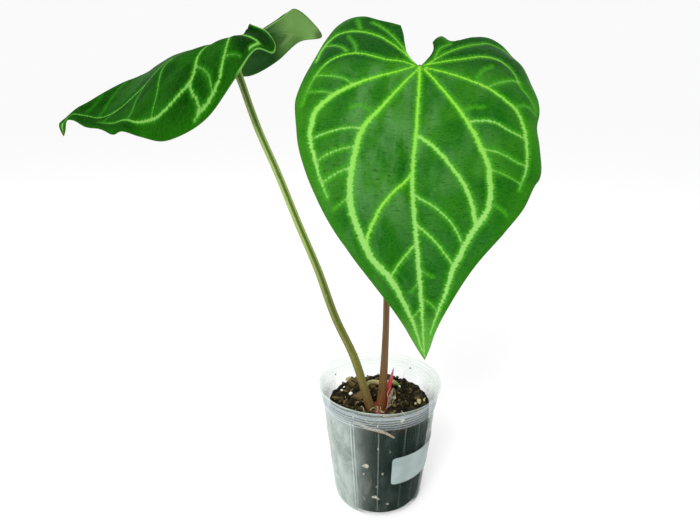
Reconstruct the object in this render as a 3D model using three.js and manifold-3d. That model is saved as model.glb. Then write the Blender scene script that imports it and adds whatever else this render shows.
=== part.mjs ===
// A potted Anthurium magnificum: two heart-shaped leaves on long petioles, rooted in a clear nursery pot.
// Millimetres, +Z up. The origin is the middle of the pot's flat base; +Y points away from the front.
import * as THREE from "three";
import { mergeVertices } from "three/addons/utils/BufferGeometryUtils.js";
import Module from "manifold-3d";

const wasm = await Module();
wasm.setup();

// Driving dimensions
const POT_HEIGHT = 100;
const POT_WALL = 0.8;
const POT_FLOOR = 1;
const RIM_RADIUS = 47.5;
const RING_BAND_LOW = 84;
const RING_BAND_HIGH = 97;
const RING_COUNT = 6;
const RING_HEIGHT = 0.35;
const RIM_STEP = 1.2; // height over which the wall widens to the plain rim
const RIM_WIDTH = 1;
const POT_SIDES = 48;
const DRAIN_HOLES = 6;
const DRAIN_RADIUS = 3;
const DRAIN_CIRCLE = 19;
const DRAIN_SIDES = 12;
const SEAT = 0.3; // clearance where one piece rests on another
const BLADE_THICKNESS = 0.7;
const BLADE_CELLS = 8; // cells from midrib to margin
const LOBE_STATIONS = 12;
const BLADE_STATIONS = 24;
const BEND_STEPS = 16; // steps in which a half of the large leaf bends from midrib to margin
const SOIL_CENTRE_HEIGHT = 85.5;
const SOIL_EDGE_DROP = 3.5;
const SOIL_RADIUS = 38;
const SOIL_SIDES = 40;
const CROWN = { x: -2.2, y: -11.4, radius: 8.8, bottom: 60, top: 82 };
const CROWN_HOLE_RADIUS = 10.8;
const CROWN_HOLE_SIDES = 24;
const STALK_RIDGE = 0.11; // height of a petiole's angles, as a share of its radius
const STALK = { steps: 40, sides: 12 };
const SMALL_STALK = { steps: 14, sides: 10 };
const STEM = { steps: 14, sides: 20 };
const ROOT = { steps: 20, sides: 10 };
const ROOT_CLEARANCE = 0.9; // how far a root on the mix stands clear of its lumps
const BRACT = { height: 18, steps: 10, curl: 0.35, thickness: 0.6 };
const LABEL = { from: 11, to: 88, low: 33.5, high: 58.5, corner: 3, thickness: 0.25, clear: 0.3, cells: 14 };

// A smooth curve through rows of [knot, value, ...], straight beyond both ends.
function smooth(rows, x) {
  const last = rows.length - 1;
  const rise = (i, k) => (rows[i + 1][k] - rows[i][k]) / (rows[i + 1][0] - rows[i][0]);
  const slope = (i, k) => {
    if (i === 0) return rise(0, k);
    if (i === last) return rise(last - 1, k);
    const before = rows[i][0] - rows[i - 1][0];
    const after = rows[i + 1][0] - rows[i][0];
    return (rise(i - 1, k) * after + rise(i, k) * before) / (before + after);
  };
  let i = 0;
  while (i < last - 1 && x > rows[i + 1][0]) i += 1;
  const span = rows[i + 1][0] - rows[i][0];
  const t = (x - rows[i][0]) / span;
  return rows[i].slice(1).map((value, n) => {
    const k = n + 1;
    if (t < 0) return value + (x - rows[i][0]) * slope(i, k);
    if (t > 1) return rows[i + 1][k] + (x - rows[i + 1][0]) * slope(i + 1, k);
    const t2 = t * t;
    const t3 = t2 * t;
    return (2 * t3 - 3 * t2 + 1) * value + (t3 - 2 * t2 + t) * span * slope(i, k)
      + (3 * t2 - 2 * t3) * rows[i + 1][k] + (t3 - t2) * span * slope(i + 1, k);
  });
}

// The points of a path with their distance along it in front, ready for smooth().
function measured(points) {
  let run = 0;
  return points.map((point, i) => {
    if (i > 0) run += Math.hypot(...point.slice(0, 3).map((value, k) => value - points[i - 1][k]));
    return [run, ...point];
  });
}

// count + 1 places along a smooth path through the points, evenly spaced.
function along(points, count) {
  const rows = measured(points);
  const length = rows[rows.length - 1][0];
  return Array.from({ length: count + 1 }, (_, i) => smooth(rows, (length * i) / count));
}

function geometryFrom(positions, triangles) {
  const geometry = new THREE.BufferGeometry();
  geometry.setAttribute("position", new THREE.Float32BufferAttribute(positions.flat(), 3));
  geometry.setIndex(triangles.flat());
  return geometry;
}

// A sheet of even thickness. Grids are rows of points on its middle surface; grids that share points join.
function thickened(grids, thickness) {
  const places = [];
  const index = new Map();
  const vertex = (point) => {
    const key = point.map((value) => Math.round(value * 1000)).join();
    if (!index.has(key)) {
      index.set(key, places.length);
      places.push(new THREE.Vector3(...point));
    }
    return index.get(key);
  };
  const triangles = [];
  const addTriangle = (a, b, c) => {
    if (a !== b && b !== c && c !== a) triangles.push([a, b, c]);
  };
  for (const { rows, flip } of grids) {
    for (let i = 0; i + 1 < rows.length; i += 1) {
      for (let j = 0; j + 1 < rows[i].length; j += 1) {
        const corners = [rows[i][j], rows[i + 1][j], rows[i + 1][j + 1], rows[i][j + 1]].map(vertex);
        const [a, b, c, d] = flip ? corners.reverse() : corners;
        addTriangle(a, b, c);
        addTriangle(a, c, d);
      }
    }
  }
  const normals = places.map(() => new THREE.Vector3());
  for (const [a, b, c] of triangles) {
    const across = places[b].clone().sub(places[a]).cross(places[c].clone().sub(places[a]));
    [a, b, c].forEach((i) => normals[i].add(across));
  }
  const edges = new Map();
  for (const triangle of triangles) {
    triangle.forEach((a, k) => {
      const b = triangle[(k + 1) % 3];
      if (!edges.delete(`${b},${a}`)) edges.set(`${a},${b}`, [a, b]);
    });
  }
  const lifted = (side) => places.map((place, i) => place.clone()
    .addScaledVector(normals[i].clone().normalize(), (side * thickness) / 2).toArray());
  const under = places.length;
  const faces = [...triangles];
  triangles.forEach(([a, b, c]) => faces.push([a + under, c + under, b + under]));
  edges.forEach(([a, b]) => faces.push([b, a, a + under], [b, a + under, b + under]));
  return geometryFrom([...lifted(1), ...lifted(-1)], faces);
}

// A solid tube along rows of [x, y, z, radius], with as many low ridges as the section has angles.
// A level foot lies flat on what carries it.
function tube(points, { steps, sides }, { angles = 0, levelFoot = false } = {}) {
  const stations = along(points, steps);
  const ridge = (turn) => 1 + (angles ? STALK_RIDGE * Math.cos(angles * turn) : 0);
  const centre = stations.map(([x, y, z]) => new THREE.Vector3(x, y, z));
  const positions = [];
  let side = new THREE.Vector3(1, 0, 0);
  stations.forEach((station, i) => {
    const ahead = centre[Math.min(i + 1, steps)].clone().sub(centre[Math.max(i - 1, 0)]).normalize();
    side = side.clone().addScaledVector(ahead, -side.dot(ahead)).normalize();
    const other = ahead.clone().cross(side);
    for (let k = 0; k < sides; k += 1) {
      const turn = (2 * Math.PI * k) / sides;
      const radius = station[3] * ridge(turn);
      const place = centre[i].clone().addScaledVector(side, radius * Math.cos(turn))
        .addScaledVector(other, radius * Math.sin(turn));
      if (i === 0 && levelFoot) place.z = centre[0].z;
      positions.push(place.toArray());
    }
  });
  const faces = [];
  for (let i = 0; i < steps; i += 1) {
    for (let k = 0; k < sides; k += 1) {
      const a = i * sides + k;
      const b = i * sides + ((k + 1) % sides);
      faces.push([a, b, b + sides], [a, b + sides, a + sides]);
    }
  }
  const foot = positions.push(centre[0].toArray()) - 1;
  const head = positions.push(centre[steps].toArray()) - 1;
  for (let k = 0; k < sides; k += 1) {
    const next = (k + 1) % sides;
    faces.push([foot, next, k], [head, steps * sides + k, steps * sides + next]);
  }
  return geometryFrom(positions, faces);
}

function solid(geometry) {
  const bare = geometry.clone();
  bare.deleteAttribute("normal");
  bare.deleteAttribute("uv");
  const merged = mergeVertices(bare, 1e-4);
  return new wasm.Manifold(new wasm.Mesh({
    numProp: 3,
    vertProperties: new Float32Array(merged.attributes.position.array),
    triVerts: new Uint32Array(merged.index.array),
  }));
}

function cut(geometry, tools) {
  const body = tools.reduce((rest, tool) => rest.subtract(solid(tool)), solid(geometry));
  const mesh = body.getMesh();
  const result = new THREE.BufferGeometry();
  result.setAttribute("position", new THREE.Float32BufferAttribute(mesh.vertProperties, 3));
  result.setIndex(Array.from(mesh.triVerts));
  return result;
}

function upright(radius, low, high, x, y, sides) {
  const cylinder = new THREE.CylinderGeometry(radius, radius, high - low, sides);
  return cylinder.rotateX(Math.PI / 2).translate(x, y, (low + high) / 2);
}

// Pot: the outside's radius by height, above the rounded corner
const POT_SIDE = [[8, 35.2], [62, 41.4], [80, 42.9], [RING_BAND_LOW, 43.6], [RING_BAND_HIGH, 46]];

function potRadius(height) {
  const i = Math.max(1, POT_SIDE.findIndex(([z]) => z >= height));
  const [[z0, r0], [z1, r1]] = [POT_SIDE[i - 1], POT_SIDE[i]];
  return r0 + ((r1 - r0) * (height - z0)) / (z1 - z0);
}

function pot() {
  const profile = [[0, 0], [29, 0], [31.6, 0.6], [33.6, 2.2], [34.8, 4.8]];
  POT_SIDE.slice(0, -1).forEach(([z, radius]) => profile.push([radius, z]));
  const pitch = (RING_BAND_HIGH - RING_BAND_LOW) / RING_COUNT;
  for (let ring = 0; ring < RING_COUNT; ring += 1) {
    const middle = RING_BAND_LOW + (ring + 0.5) * pitch;
    const end = RING_BAND_LOW + (ring + 1) * pitch;
    profile.push([potRadius(middle) + RING_HEIGHT, middle], [potRadius(end), end]);
  }
  profile.push([RIM_RADIUS, RING_BAND_HIGH + RIM_STEP], [RIM_RADIUS, POT_HEIGHT]);
  profile.push([RIM_RADIUS - RIM_WIDTH, POT_HEIGHT]);
  [...POT_SIDE].reverse().forEach(([z, radius]) => profile.push([radius - POT_WALL, z]));
  profile.push([34, 5.2], [32.8, 3], [31.1, 1.6], [28.6, POT_FLOOR], [0, POT_FLOOR]);
  const shell = new THREE.LatheGeometry(profile.map(([r, z]) => new THREE.Vector2(r, z)), POT_SIDES);
  shell.rotateX(Math.PI / 2);
  const holes = Array.from({ length: DRAIN_HOLES }, (_, i) => {
    const turn = (2 * Math.PI * (i + 0.5)) / DRAIN_HOLES;
    const [x, y] = [DRAIN_CIRCLE * Math.cos(turn), DRAIN_CIRCLE * Math.sin(turn)];
    return upright(DRAIN_RADIUS, -POT_FLOOR, 2 * POT_FLOOR, x, y, DRAIN_SIDES);
  });
  return cut(shell, holes);
}

// Label: a blank rounded sticker round the pot's right front
function label() {
  const rows = [0, 0.12, 0.3, 0.5, 0.7, 0.88, 1].map((share) => {
    const z = LABEL.low + (LABEL.high - LABEL.low) * share;
    const inset = Math.max(0, LABEL.corner - Math.min(z - LABEL.low, LABEL.high - z));
    const shrink = LABEL.corner - Math.sqrt(LABEL.corner ** 2 - inset ** 2);
    const radius = potRadius(z) + LABEL.clear + LABEL.thickness / 2;
    const trim = THREE.MathUtils.radToDeg(shrink / radius);
    return Array.from({ length: LABEL.cells + 1 }, (_, i) => {
      const from = LABEL.from + trim;
      const turn = THREE.MathUtils.degToRad(from + ((LABEL.to - trim - from) * i) / LABEL.cells);
      return [radius * Math.sin(turn), -radius * Math.cos(turn), z];
    });
  });
  return thickened([{ rows, flip: true }], LABEL.thickness);
}

// Potting mix: a root ball that has drawn away from the wall, with a low lumpy top
function soilTop(x, y) {
  const lumps = 1.1 * Math.sin(0.42 * x + 1.3) * Math.sin(0.37 * y + 0.4)
    + 0.7 * Math.sin(0.71 * x - 0.52 * y + 0.8) + 0.4 * Math.sin(1.1 * y + 0.3 * x);
  return SOIL_CENTRE_HEIGHT - SOIL_EDGE_DROP * ((x * x + y * y) / SOIL_RADIUS ** 2) + lumps;
}

function soil() {
  const turns = SOIL_SIDES;
  const side = [[26, POT_FLOOR + SEAT], [30, 8], [34.5, 30], [SOIL_RADIUS, 60], [39, 79]];
  const top = [38.2, 34, 29, 24, 19, 14, 9, 4];
  const positions = [[0, 0, POT_FLOOR + SEAT]];
  const ring = (radius, height) => {
    for (let k = 0; k < turns; k += 1) {
      const turn = (2 * Math.PI * k) / turns;
      const x = radius * Math.cos(turn);
      const y = radius * Math.sin(turn);
      positions.push([x, y, height ?? soilTop(x, y)]);
    }
  };
  side.forEach(([radius, height]) => ring(radius, height));
  top.forEach((radius) => ring(radius));
  const peak = positions.push([0, 0, soilTop(0, 0)]) - 1;
  const rings = side.length + top.length;
  const faces = [];
  for (let k = 0; k < turns; k += 1) {
    const next = (k + 1) % turns;
    faces.push([0, 1 + next, 1 + k]);
    for (let i = 0; i + 1 < rings; i += 1) {
      const a = 1 + i * turns + k;
      const b = 1 + i * turns + next;
      faces.push([a, b, b + turns], [a, b + turns, a + turns]);
    }
    const edge = 1 + (rings - 1) * turns;
    faces.push([edge + k, edge + next, peak]);
  }
  const hole = upright(CROWN_HOLE_RADIUS, CROWN.bottom, POT_HEIGHT, CROWN.x, CROWN.y, CROWN_HOLE_SIDES);
  return cut(geometryFrom(positions, faces), [hole]);
}

// The short stem that both petioles and the new shoot grow from, ringed by old leaf scars
function stemBase() {
  const { x, y, radius, bottom, top } = CROWN;
  const scars = [0.72, 0.86, 0.8, 0.94, 0.88, 1, 0.95, 1];
  const low = bottom + SEAT;
  const pitch = (top - low) / (scars.length - 1);
  const points = scars.map((share, i) => [x, y, low + pitch * i, radius * share]);
  return tube(points, STEM);
}

// Petioles and roots: rows of x, y, z and radius, from the foot up
const PETIOLE_LARGE = [
  [0.4, -12, 82.3, 3.5], [1, -12.1, 90, 3.1], [2.1, -12.4, 110, 2.6], [3, -13, 145, 2.1],
  [3.2, -13.6, 190, 2], [5, -14, 235, 1.9], [9.5, -13.4, 278, 1.9], [15, -12.2, 304, 2],
  [18.4, -12.6, 317, 2.3], [19.4, -15.6, 322.2, 2.5], [19.5, -19, 324.3, 2.3],
];
const PETIOLE_LEFT = [
  [-7.2, -13, 82.3, 3.3], [-9.5, -12.5, 90, 3], [-19.5, -9.2, 122.9, 2.7], [-33.4, -5.4, 153.4, 2.6],
  [-45.9, -0.4, 188.7, 2.5], [-60.1, 5, 222.8, 2.4], [-73.4, 10.6, 256.1, 2.3], [-87.5, 16.5, 288.5, 2.3],
  [-96.8, 21.6, 315, 2.3], [-100.8, 24.2, 327, 2.5], [-101.4, 24.7, 331.3, 2.5],
];
const NEW_SHOOT = [
  [5.4, -8.4, 82.3, 1.8], [5.7, -8.9, 90, 1.9], [6.8, -10.4, 100, 1.7], [8.2, -11.6, 109, 1.1],
  [9.5, -12, 116, 0.3],
];
// Rows of x, y and radius: its height follows the mix
const AERIAL_ROOT = [
  [-9.2, 13.5, 1.6], [-6, 15, 1.7], [0, 17, 1.8], [7, 17.5, 1.8], [13, 16, 1.7], [17.4, 13.8, 0.5],
];
// Rows of degrees from the front, height and radius
const WALL_ROOT = [
  [-29, 86, 0.5], [-23, 86.5, 1], [-14, 84, 1], [-4, 82.5, 1], [4, 80, 1], [12.5, 75.5, 0.6],
];

// Lies along the mix behind the petioles
function aerialRoot() {
  const points = AERIAL_ROOT.map(([x, y, radius]) => [x, y, soilTop(x, y) + radius + ROOT_CLEARANCE, radius]);
  return tube(points, ROOT);
}

// Runs between the root ball and the clear wall
function wallRoot() {
  const thickest = Math.max(...WALL_ROOT.map(([, , radius]) => radius));
  const points = WALL_ROOT.map(([degrees, z, radius]) => {
    const turn = THREE.MathUtils.degToRad(degrees);
    const distance = potRadius(z) - POT_WALL - SEAT - thickest;
    return [distance * Math.sin(turn), -distance * Math.cos(turn), z, radius];
  });
  return tube(points, ROOT);
}

// The dry bract round the new shoot: a narrow curled blade with a torn tip
function cataphyll() {
  const spine = [[0, 6.4, -11.9, 82.4], [9, 7.6, -12.6, 91], [BRACT.height, 9.6, -13.4, 100]];
  const width = [[0, 1.6], [5, 1.7], [9, 2.3], [13, 1.9], [BRACT.height, 0.5]];
  const rows = Array.from({ length: BRACT.steps + 1 }, (_, i) => {
    const up = (BRACT.height * i) / BRACT.steps;
    const [x, y, z] = smooth(spine, up);
    const [half] = smooth(width, up);
    return [-1, -0.5, 0, 0.5, 1].map((across) => [x + half * across, y + BRACT.curl * half * across ** 2, z]);
  });
  return thickened([{ rows, flip: true }], BRACT.thickness);
}

// Large leaf: a flat heart outline, in mm along (u, to the tip) and across (v) from the petiole's junction,
// laid on a surface that bends along the midrib and falls away to both margins.
const LARGE_LENGTH = 178;
const LARGE_WIDTH = 75;
const LARGE_SPINE = [
  [-45, 20, 10, 358], [0, 19.5, -20, 325], [43, 16, -42.5, 289], [74, 13, -57, 261.7],
  [110, 15, -71.4, 228.3], [142, 17.5, -81.2, 198], [LARGE_LENGTH, 19.8, -90.2, 163.7],
];
// Slope of each half beside the midrib and at full width: rows of u, degrees on the right and on the left.
// Past the limit, a share of full width, the slope stays as it is.
const LARGE_RISE = [[-45, -6, 5], [0, 4, 10], [60, 12, 12], [LARGE_LENGTH, 8, 8]];
const LARGE_FALL = [[-45, -34, -32], [0, -27, -24], [60, -16, -18], [LARGE_LENGTH, -10, -10]];
const LARGE_SLOPE_LIMIT = 1.2;
const LARGE_RIGHT = {
  sinus: [[-20, 8.5], [-15, 9], [-10, 7.5], [-4.5, 4], [0, 0]],
  lobe: [
    [-20, 8.5], [-25, 12], [-27, 15], [-23.5, 20], [-24.5, 26], [-33, 40], [-38, 54.5], [-34.5, 61.5],
    [-26, 66.5], [-17, 72.5], [-3, 75],
  ],
  blade: [
    [-3, 75], [11, 78.5], [18, 78], [31, 74.5], [42, 75], [59, 76], [81, 70], [94, 64], [111, 47], [128, 30],
    [145, 17], [163, 6.5], [172, 3], [LARGE_LENGTH, 0],
  ],
};
const LARGE_LEFT = {
  sinus: [[-34, 11], [-25, 9.5], [-18, 9], [-8, 7], [-3, 3.5], [0, 0]],
  lobe: [[-34, 11], [-40, 23.5], [-46, 35], [-46.5, 42.5], [-42, 52], [-32, 59], [-15, 65.5], [3, 70.5]],
  blade: [
    [3, 70.5], [16.5, 73.5], [27, 75], [43, 72.5], [57, 69.5], [83, 55.5], [109, 41.5], [132, 26.5],
    [157, 11], [167, 6], [LARGE_LENGTH, 0],
  ],
};

function largePlace(u, v) {
  const spine = (at) => new THREE.Vector3(...smooth(LARGE_SPINE, at));
  const centre = spine(u);
  const ahead = spine(u + 0.5).sub(spine(u - 0.5)).normalize();
  const across = new THREE.Vector3(1, 0, 0);
  across.addScaledVector(ahead, -across.dot(ahead)).normalize();
  const out = ahead.clone().cross(across);
  const half = v >= 0 ? 0 : 1;
  const width = Math.abs(v);
  const near = smooth(LARGE_RISE, u)[half];
  const far = smooth(LARGE_FALL, u)[half];
  for (let i = 0; i < BEND_STEPS; i += 1) {
    const share = Math.min((width * (i + 0.5)) / BEND_STEPS / LARGE_WIDTH, LARGE_SLOPE_LIMIT);
    const slope = THREE.MathUtils.degToRad(near + (far - near) * share);
    centre.addScaledVector(across, (Math.sign(v) * Math.cos(slope) * width) / BEND_STEPS);
    centre.addScaledVector(out, (Math.sin(slope) * width) / BEND_STEPS);
  }
  return centre.toArray();
}

function largeHalf(outline, side) {
  const midrib = [[0, 0], [LARGE_LENGTH, 0]];
  const inner = [...along(outline.sinus, LOBE_STATIONS), ...along(midrib, BLADE_STATIONS).slice(1)];
  const outer = [...along(outline.lobe, LOBE_STATIONS), ...along(outline.blade, BLADE_STATIONS).slice(1)];
  const rows = inner.map(([u0, v0], i) => {
    const [u1, v1] = outer[i];
    return Array.from({ length: BLADE_CELLS + 1 }, (_, j) => {
      const t = j / BLADE_CELLS;
      return largePlace(u0 + (u1 - u0) * t, side * (v0 + (v1 - v0) * t));
    });
  });
  return { rows, flip: side < 0 };
}

// Left leaf: it turns its side to the front and hangs over its petiole like a saddle. Each half is a run of
// sections from the notch to the tip; a section has its inner, middle and outer point.
const JUNCTION = [-102, 25, 332];
const MIDRIB = [
  JUNCTION, [-122, 20, 337], [-143.5, 16, 331], [-164, 12, 312], [-172, 10.5, 305], [-178, 9, 300],
  [-191.5, 4, 294], [-199, 0, 296], [-205, -3, 296.5], [-208.5, -4, 294], [-211, -5, 290.5],
  [-211, -6, 286.5],
];
const DRIP_TIP = [-210.5, -7, 283];
const NEAR_LOBE = [
  [[-88, 14, 353.5], [-88, 14, 353.5], [-88, 14, 353.5]],
  [[-89.5, 16, 351], [-81.5, 8, 348], [-75, 2, 347]],
  [[-91.5, 19, 349.5], [-79.5, 2, 344.5], [-69, -8, 338]],
  [[-96, 21, 343.5], [-83, 0, 345], [-70, -14, 333]],
  [[-100, 23.5, 336.5], [-88.5, 2, 345.5], [-79, -18, 335]],
];
const FAR_LOBE = [
  [[-84, 28, 349.5], [-84, 28, 349.5], [-84, 28, 349.5]],
  [[-87.5, 30, 346.5], [-81.5, 45, 354.5], [-68.5, 48, 363]],
  [[-90, 29, 342.5], [-80, 52, 355.5], [-63, 52, 368]],
  [[-93, 28, 339.5], [-76.5, 60, 355.5], [-51.5, 62, 361.5]],
  [[-95.5, 27, 336], [-78, 64, 353.5], [-44, 70, 351.5]],
  [[-98.5, 26, 334], [-84, 66, 354.5], [-61.5, 76, 348.5]],
  [[-100.5, 25.5, 332.5], [-90, 66, 353], [-79.5, 80, 335]],
];
// Beyond the junction a section starts on the midrib: the middle and outer point for each place there
const NEAR_BLADE = [
  [[-100, 5, 344], [-91, -22, 320]], [[-120, 0, 331], [-112, -20, 295]], [[-141, -3, 316], [-135, -22, 282]],
  [[-162, -6, 298], [-157, -18, 283.5]], [[-170, -6, 295], [-168, -17, 286.5]],
  [[-177, -6, 292], [-173, -17, 284.5]], [[-190, -5, 291], [-185, -12, 288]],
  [[-198, -5, 292], [-195, -9, 289]], [[-204.5, -5, 295], [-203, -7, 293]],
  [[-208, -4.5, 293.5], [-207.5, -5, 293]], [[-210, -5.5, 290], [-209, -5, 290]],
  [[-210, -6.5, 286.5], [-209.5, -6, 286.5]],
];
const FAR_BLADE = [
  [[-100.5, 60, 347], [-100, 82, 324.5]], [[-122, 48, 340], [-122, 78, 328]],
  [[-148, 45, 336], [-154, 72, 336.5]], [[-169, 35, 320], [-175, 57, 325]],
  [[-176.5, 30, 313.5], [-182, 50, 321]], [[-182, 26, 309], [-186.5, 44, 318.5]],
  [[-194, 15, 301.5], [-196.5, 26, 310]], [[-200.5, 8, 300], [-202, 16, 304.5]],
  [[-205.5, 0, 298], [-206, 4, 299.5]], [[-209, -4, 294], [-209, -4, 294.5]],
  [[-212, -5.5, 290.5], [-213, -5, 291]], [[-211.5, -6.5, 287], [-212.5, -6, 287]],
];

// Both halves take the same places on the midrib, so they join there.
function leftHalf(lobe, blade, near) {
  const midrib = measured([...MIDRIB, DRIP_TIP]);
  const length = midrib[midrib.length - 1][0];
  const sections = blade.map((section, i) => [midrib[i][0], ...section.flat()]);
  sections.push([length, ...DRIP_TIP, ...DRIP_TIP]);
  const sinus = [midrib[0]];
  let back = 0;
  let last = [JUNCTION, ...blade[0]];
  [...lobe].reverse().forEach((section) => {
    section.forEach((point, k) => {
      back -= Math.hypot(...point.map((value, axis) => value - last[k][axis])) / 3;
    });
    sections.unshift([back, ...section[1], ...section[2]]);
    sinus.unshift([back, ...section[0]]);
    last = section;
  });
  const stations = Array.from({ length: LOBE_STATIONS }, (_, i) => back * (1 - i / LOBE_STATIONS));
  for (let i = 0; i <= BLADE_STATIONS; i += 1) stations.push((length * i) / BLADE_STATIONS);
  const rows = stations.map((station) => {
    const inner = smooth(station < 0 ? sinus : midrib, station);
    const values = smooth(sections, station);
    return Array.from({ length: BLADE_CELLS + 1 }, (_, j) => {
      const t = j / BLADE_CELLS;
      const shares = [(1 - t) * (1 - 2 * t), 4 * t * (1 - t), t * (2 * t - 1)];
      return inner.map((value, k) => shares[0] * value + shares[1] * values[k] + shares[2] * values[k + 3]);
    });
  });
  return { rows, flip: !near };
}

// Assembly
const finish = (color, roughness, more = {}) => new THREE.MeshStandardMaterial({ color, roughness, ...more });
const leafGreen = finish("#1f5c25", 0.38);
const plant = new THREE.Group();
const add = (name, geometry, material) => {
  const mesh = new THREE.Mesh(geometry, material);
  mesh.name = name;
  plant.add(mesh);
};

add("pot", pot(), finish("#dfe9e4", 0.3, { transparent: true, opacity: 0.35 }));
add("label", label(), finish("#f1f4f3", 0.6));
add("soil", soil(), finish("#2a1d14", 0.95));
add("stem_base", stemBase(), finish("#7a3b2a", 0.7));
add("petiole_large", tube(PETIOLE_LARGE, STALK, { angles: 4, levelFoot: true }), finish("#8a5a35", 0.5));
add("petiole_left", tube(PETIOLE_LEFT, STALK, { angles: 4, levelFoot: true }), finish("#93a24a", 0.5));
const heart = [largeHalf(LARGE_RIGHT, 1), largeHalf(LARGE_LEFT, -1)];
add("leaf_large", thickened(heart, BLADE_THICKNESS), leafGreen);
const saddle = [leftHalf(NEAR_LOBE, NEAR_BLADE, true), leftHalf(FAR_LOBE, FAR_BLADE, false)];
add("leaf_left", thickened(saddle, BLADE_THICKNESS), leafGreen);
add("new_shoot", tube(NEW_SHOOT, SMALL_STALK, { levelFoot: true }), finish("#b8324a", 0.4));
add("cataphyll", cataphyll(), finish("#c9b38c", 0.8));
add("aerial_root", aerialRoot(), finish("#a8a468", 0.7));
add("wall_root", wallRoot(), finish("#b99a6b", 0.7));

export default plant;
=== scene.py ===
# Looks of the potted Anthurium magnificum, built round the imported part.
# Shapes are worked out in millimetres, as in the part's source, and placed in metres.
import math
import random

import bpy
import numpy as np
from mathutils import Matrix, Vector, noise


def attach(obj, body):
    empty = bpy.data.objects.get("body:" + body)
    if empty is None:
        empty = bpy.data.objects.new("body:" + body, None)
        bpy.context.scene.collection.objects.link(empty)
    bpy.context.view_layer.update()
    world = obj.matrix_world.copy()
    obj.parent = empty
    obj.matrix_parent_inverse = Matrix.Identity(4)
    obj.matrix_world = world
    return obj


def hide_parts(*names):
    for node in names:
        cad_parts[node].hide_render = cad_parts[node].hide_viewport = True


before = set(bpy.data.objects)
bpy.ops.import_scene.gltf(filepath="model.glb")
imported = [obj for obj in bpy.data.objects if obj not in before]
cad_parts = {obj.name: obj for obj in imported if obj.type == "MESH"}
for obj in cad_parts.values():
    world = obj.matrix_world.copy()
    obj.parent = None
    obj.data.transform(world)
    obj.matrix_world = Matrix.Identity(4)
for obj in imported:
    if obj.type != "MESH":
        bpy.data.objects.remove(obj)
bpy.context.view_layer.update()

MM = 0.001
POT_WALL = 0.8
RIM_RADIUS = 47.5
RING_BAND_LOW = 84
RING_BAND_HIGH = 97
RING_COUNT = 6
RING_HEIGHT = 0.4
DRAIN_HOLES = 6
DRAIN_RADIUS = 3
DRAIN_CIRCLE = 19
SOIL_CENTRE_HEIGHT = 85.5
SOIL_EDGE_DROP = 3.5
SOIL_RADIUS = 38
# How far out a lump on the mix may reach
SOIL_REACH = 38.5
# The stem's middle, x and y
CROWN = (-2.2, -11.4)
CROWN_HOLE_RADIUS = 10.8
CROWN_HOLE_DEPTH = 5
LEAF_THICKNESS = 1.5


# Curves

def smooth(rows, at):
    """The smooth curve through rows of [knot, value, ...] at these places, straight beyond both ends."""
    table = np.array(rows, float)
    knots, values = table[:, 0], table[:, 1:]
    at = np.atleast_1d(np.asarray(at, float))
    gaps = np.diff(knots)
    rises = np.diff(values, axis=0) / gaps[:, None]
    slopes = np.empty_like(values)
    slopes[0], slopes[-1] = rises[0], rises[-1]
    before, after = gaps[:-1, None], gaps[1:, None]
    slopes[1:-1] = (rises[:-1] * after + rises[1:] * before) / (before + after)
    cell = np.clip(np.searchsorted(knots, at) - 1, 0, len(gaps) - 1)
    share = ((at - knots[cell]) / gaps[cell])[:, None]
    span = gaps[cell][:, None]
    t = np.clip(share, 0, 1)
    curve = (2 * t**3 - 3 * t**2 + 1) * values[cell] + (t**3 - 2 * t**2 + t) * span * slopes[cell]
    curve += (3 * t**2 - 2 * t**3) * values[cell + 1] + (t**3 - t**2) * span * slopes[cell + 1]
    beyond = np.maximum(share - 1, 0) * slopes[cell + 1] + np.minimum(share, 0) * slopes[cell]
    return curve + beyond * span


def measured(points):
    """The points of a path with their distance along it in front."""
    path = np.array(points, float)
    steps = np.linalg.norm(np.diff(path[:, :3], axis=0), axis=1)
    return np.column_stack([np.concatenate([[0], np.cumsum(steps)]), path])


def along(points, shares):
    """Places along a smooth path through the points, by their share of its length."""
    rows = measured(points)
    return smooth(rows, np.asarray(shares) * rows[-1, 0])


# Meshes

def pick(piece):
    """Selects this piece alone and makes it the active one."""
    bpy.ops.object.select_all(action="DESELECT")
    bpy.context.view_layer.objects.active = piece
    piece.select_set(True)


def edit_all(piece, operator, **settings):
    """Runs an operator on the whole mesh in edit mode."""
    pick(piece)
    bpy.ops.object.mode_set(mode="EDIT")
    bpy.ops.mesh.select_all(action="SELECT")
    operator(**settings)
    bpy.ops.mesh.select_all(action="DESELECT")
    bpy.ops.object.mode_set(mode="OBJECT")


def grid(name, columns, rows):
    """A grid to be shaped by formula, with the shares across and along of each of its vertices."""
    bpy.ops.object.select_all(action="DESELECT")
    bpy.ops.mesh.primitive_grid_add(x_subdivisions=columns, y_subdivisions=rows, size=2)
    piece = bpy.context.object
    piece.name = piece.data.name = name
    shares = (places_of(piece) * MM + 1) / 2
    return piece, shares[:, 0], shares[:, 1]


def places_of(piece):
    """Where the vertices are, in millimetres."""
    flat = np.empty(len(piece.data.vertices) * 3, np.float32)
    piece.data.vertices.foreach_get("co", flat)
    return flat.reshape(-1, 3).astype(float) / MM


def normals_of(piece):
    flat = np.empty(len(piece.data.vertices) * 3, np.float32)
    piece.data.vertex_normals.foreach_get("vector", flat)
    return flat.reshape(-1, 3).astype(float)


def shape(piece, places):
    """Puts the vertices at these places, in millimetres."""
    piece.data.vertices.foreach_set("co", (np.asarray(places) * MM).astype(np.float32).ravel())
    piece.data.update()


def mark(piece, name, values):
    """Stores a number or a vector at each vertex, for the material to read."""
    values = np.asarray(values, np.float32)
    kind, field = ("FLOAT", "value") if values.ndim == 1 else ("FLOAT_VECTOR", "vector")
    attribute = piece.data.attributes.new(name, kind, "POINT")
    attribute.data.foreach_set(field, values.ravel())


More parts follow.
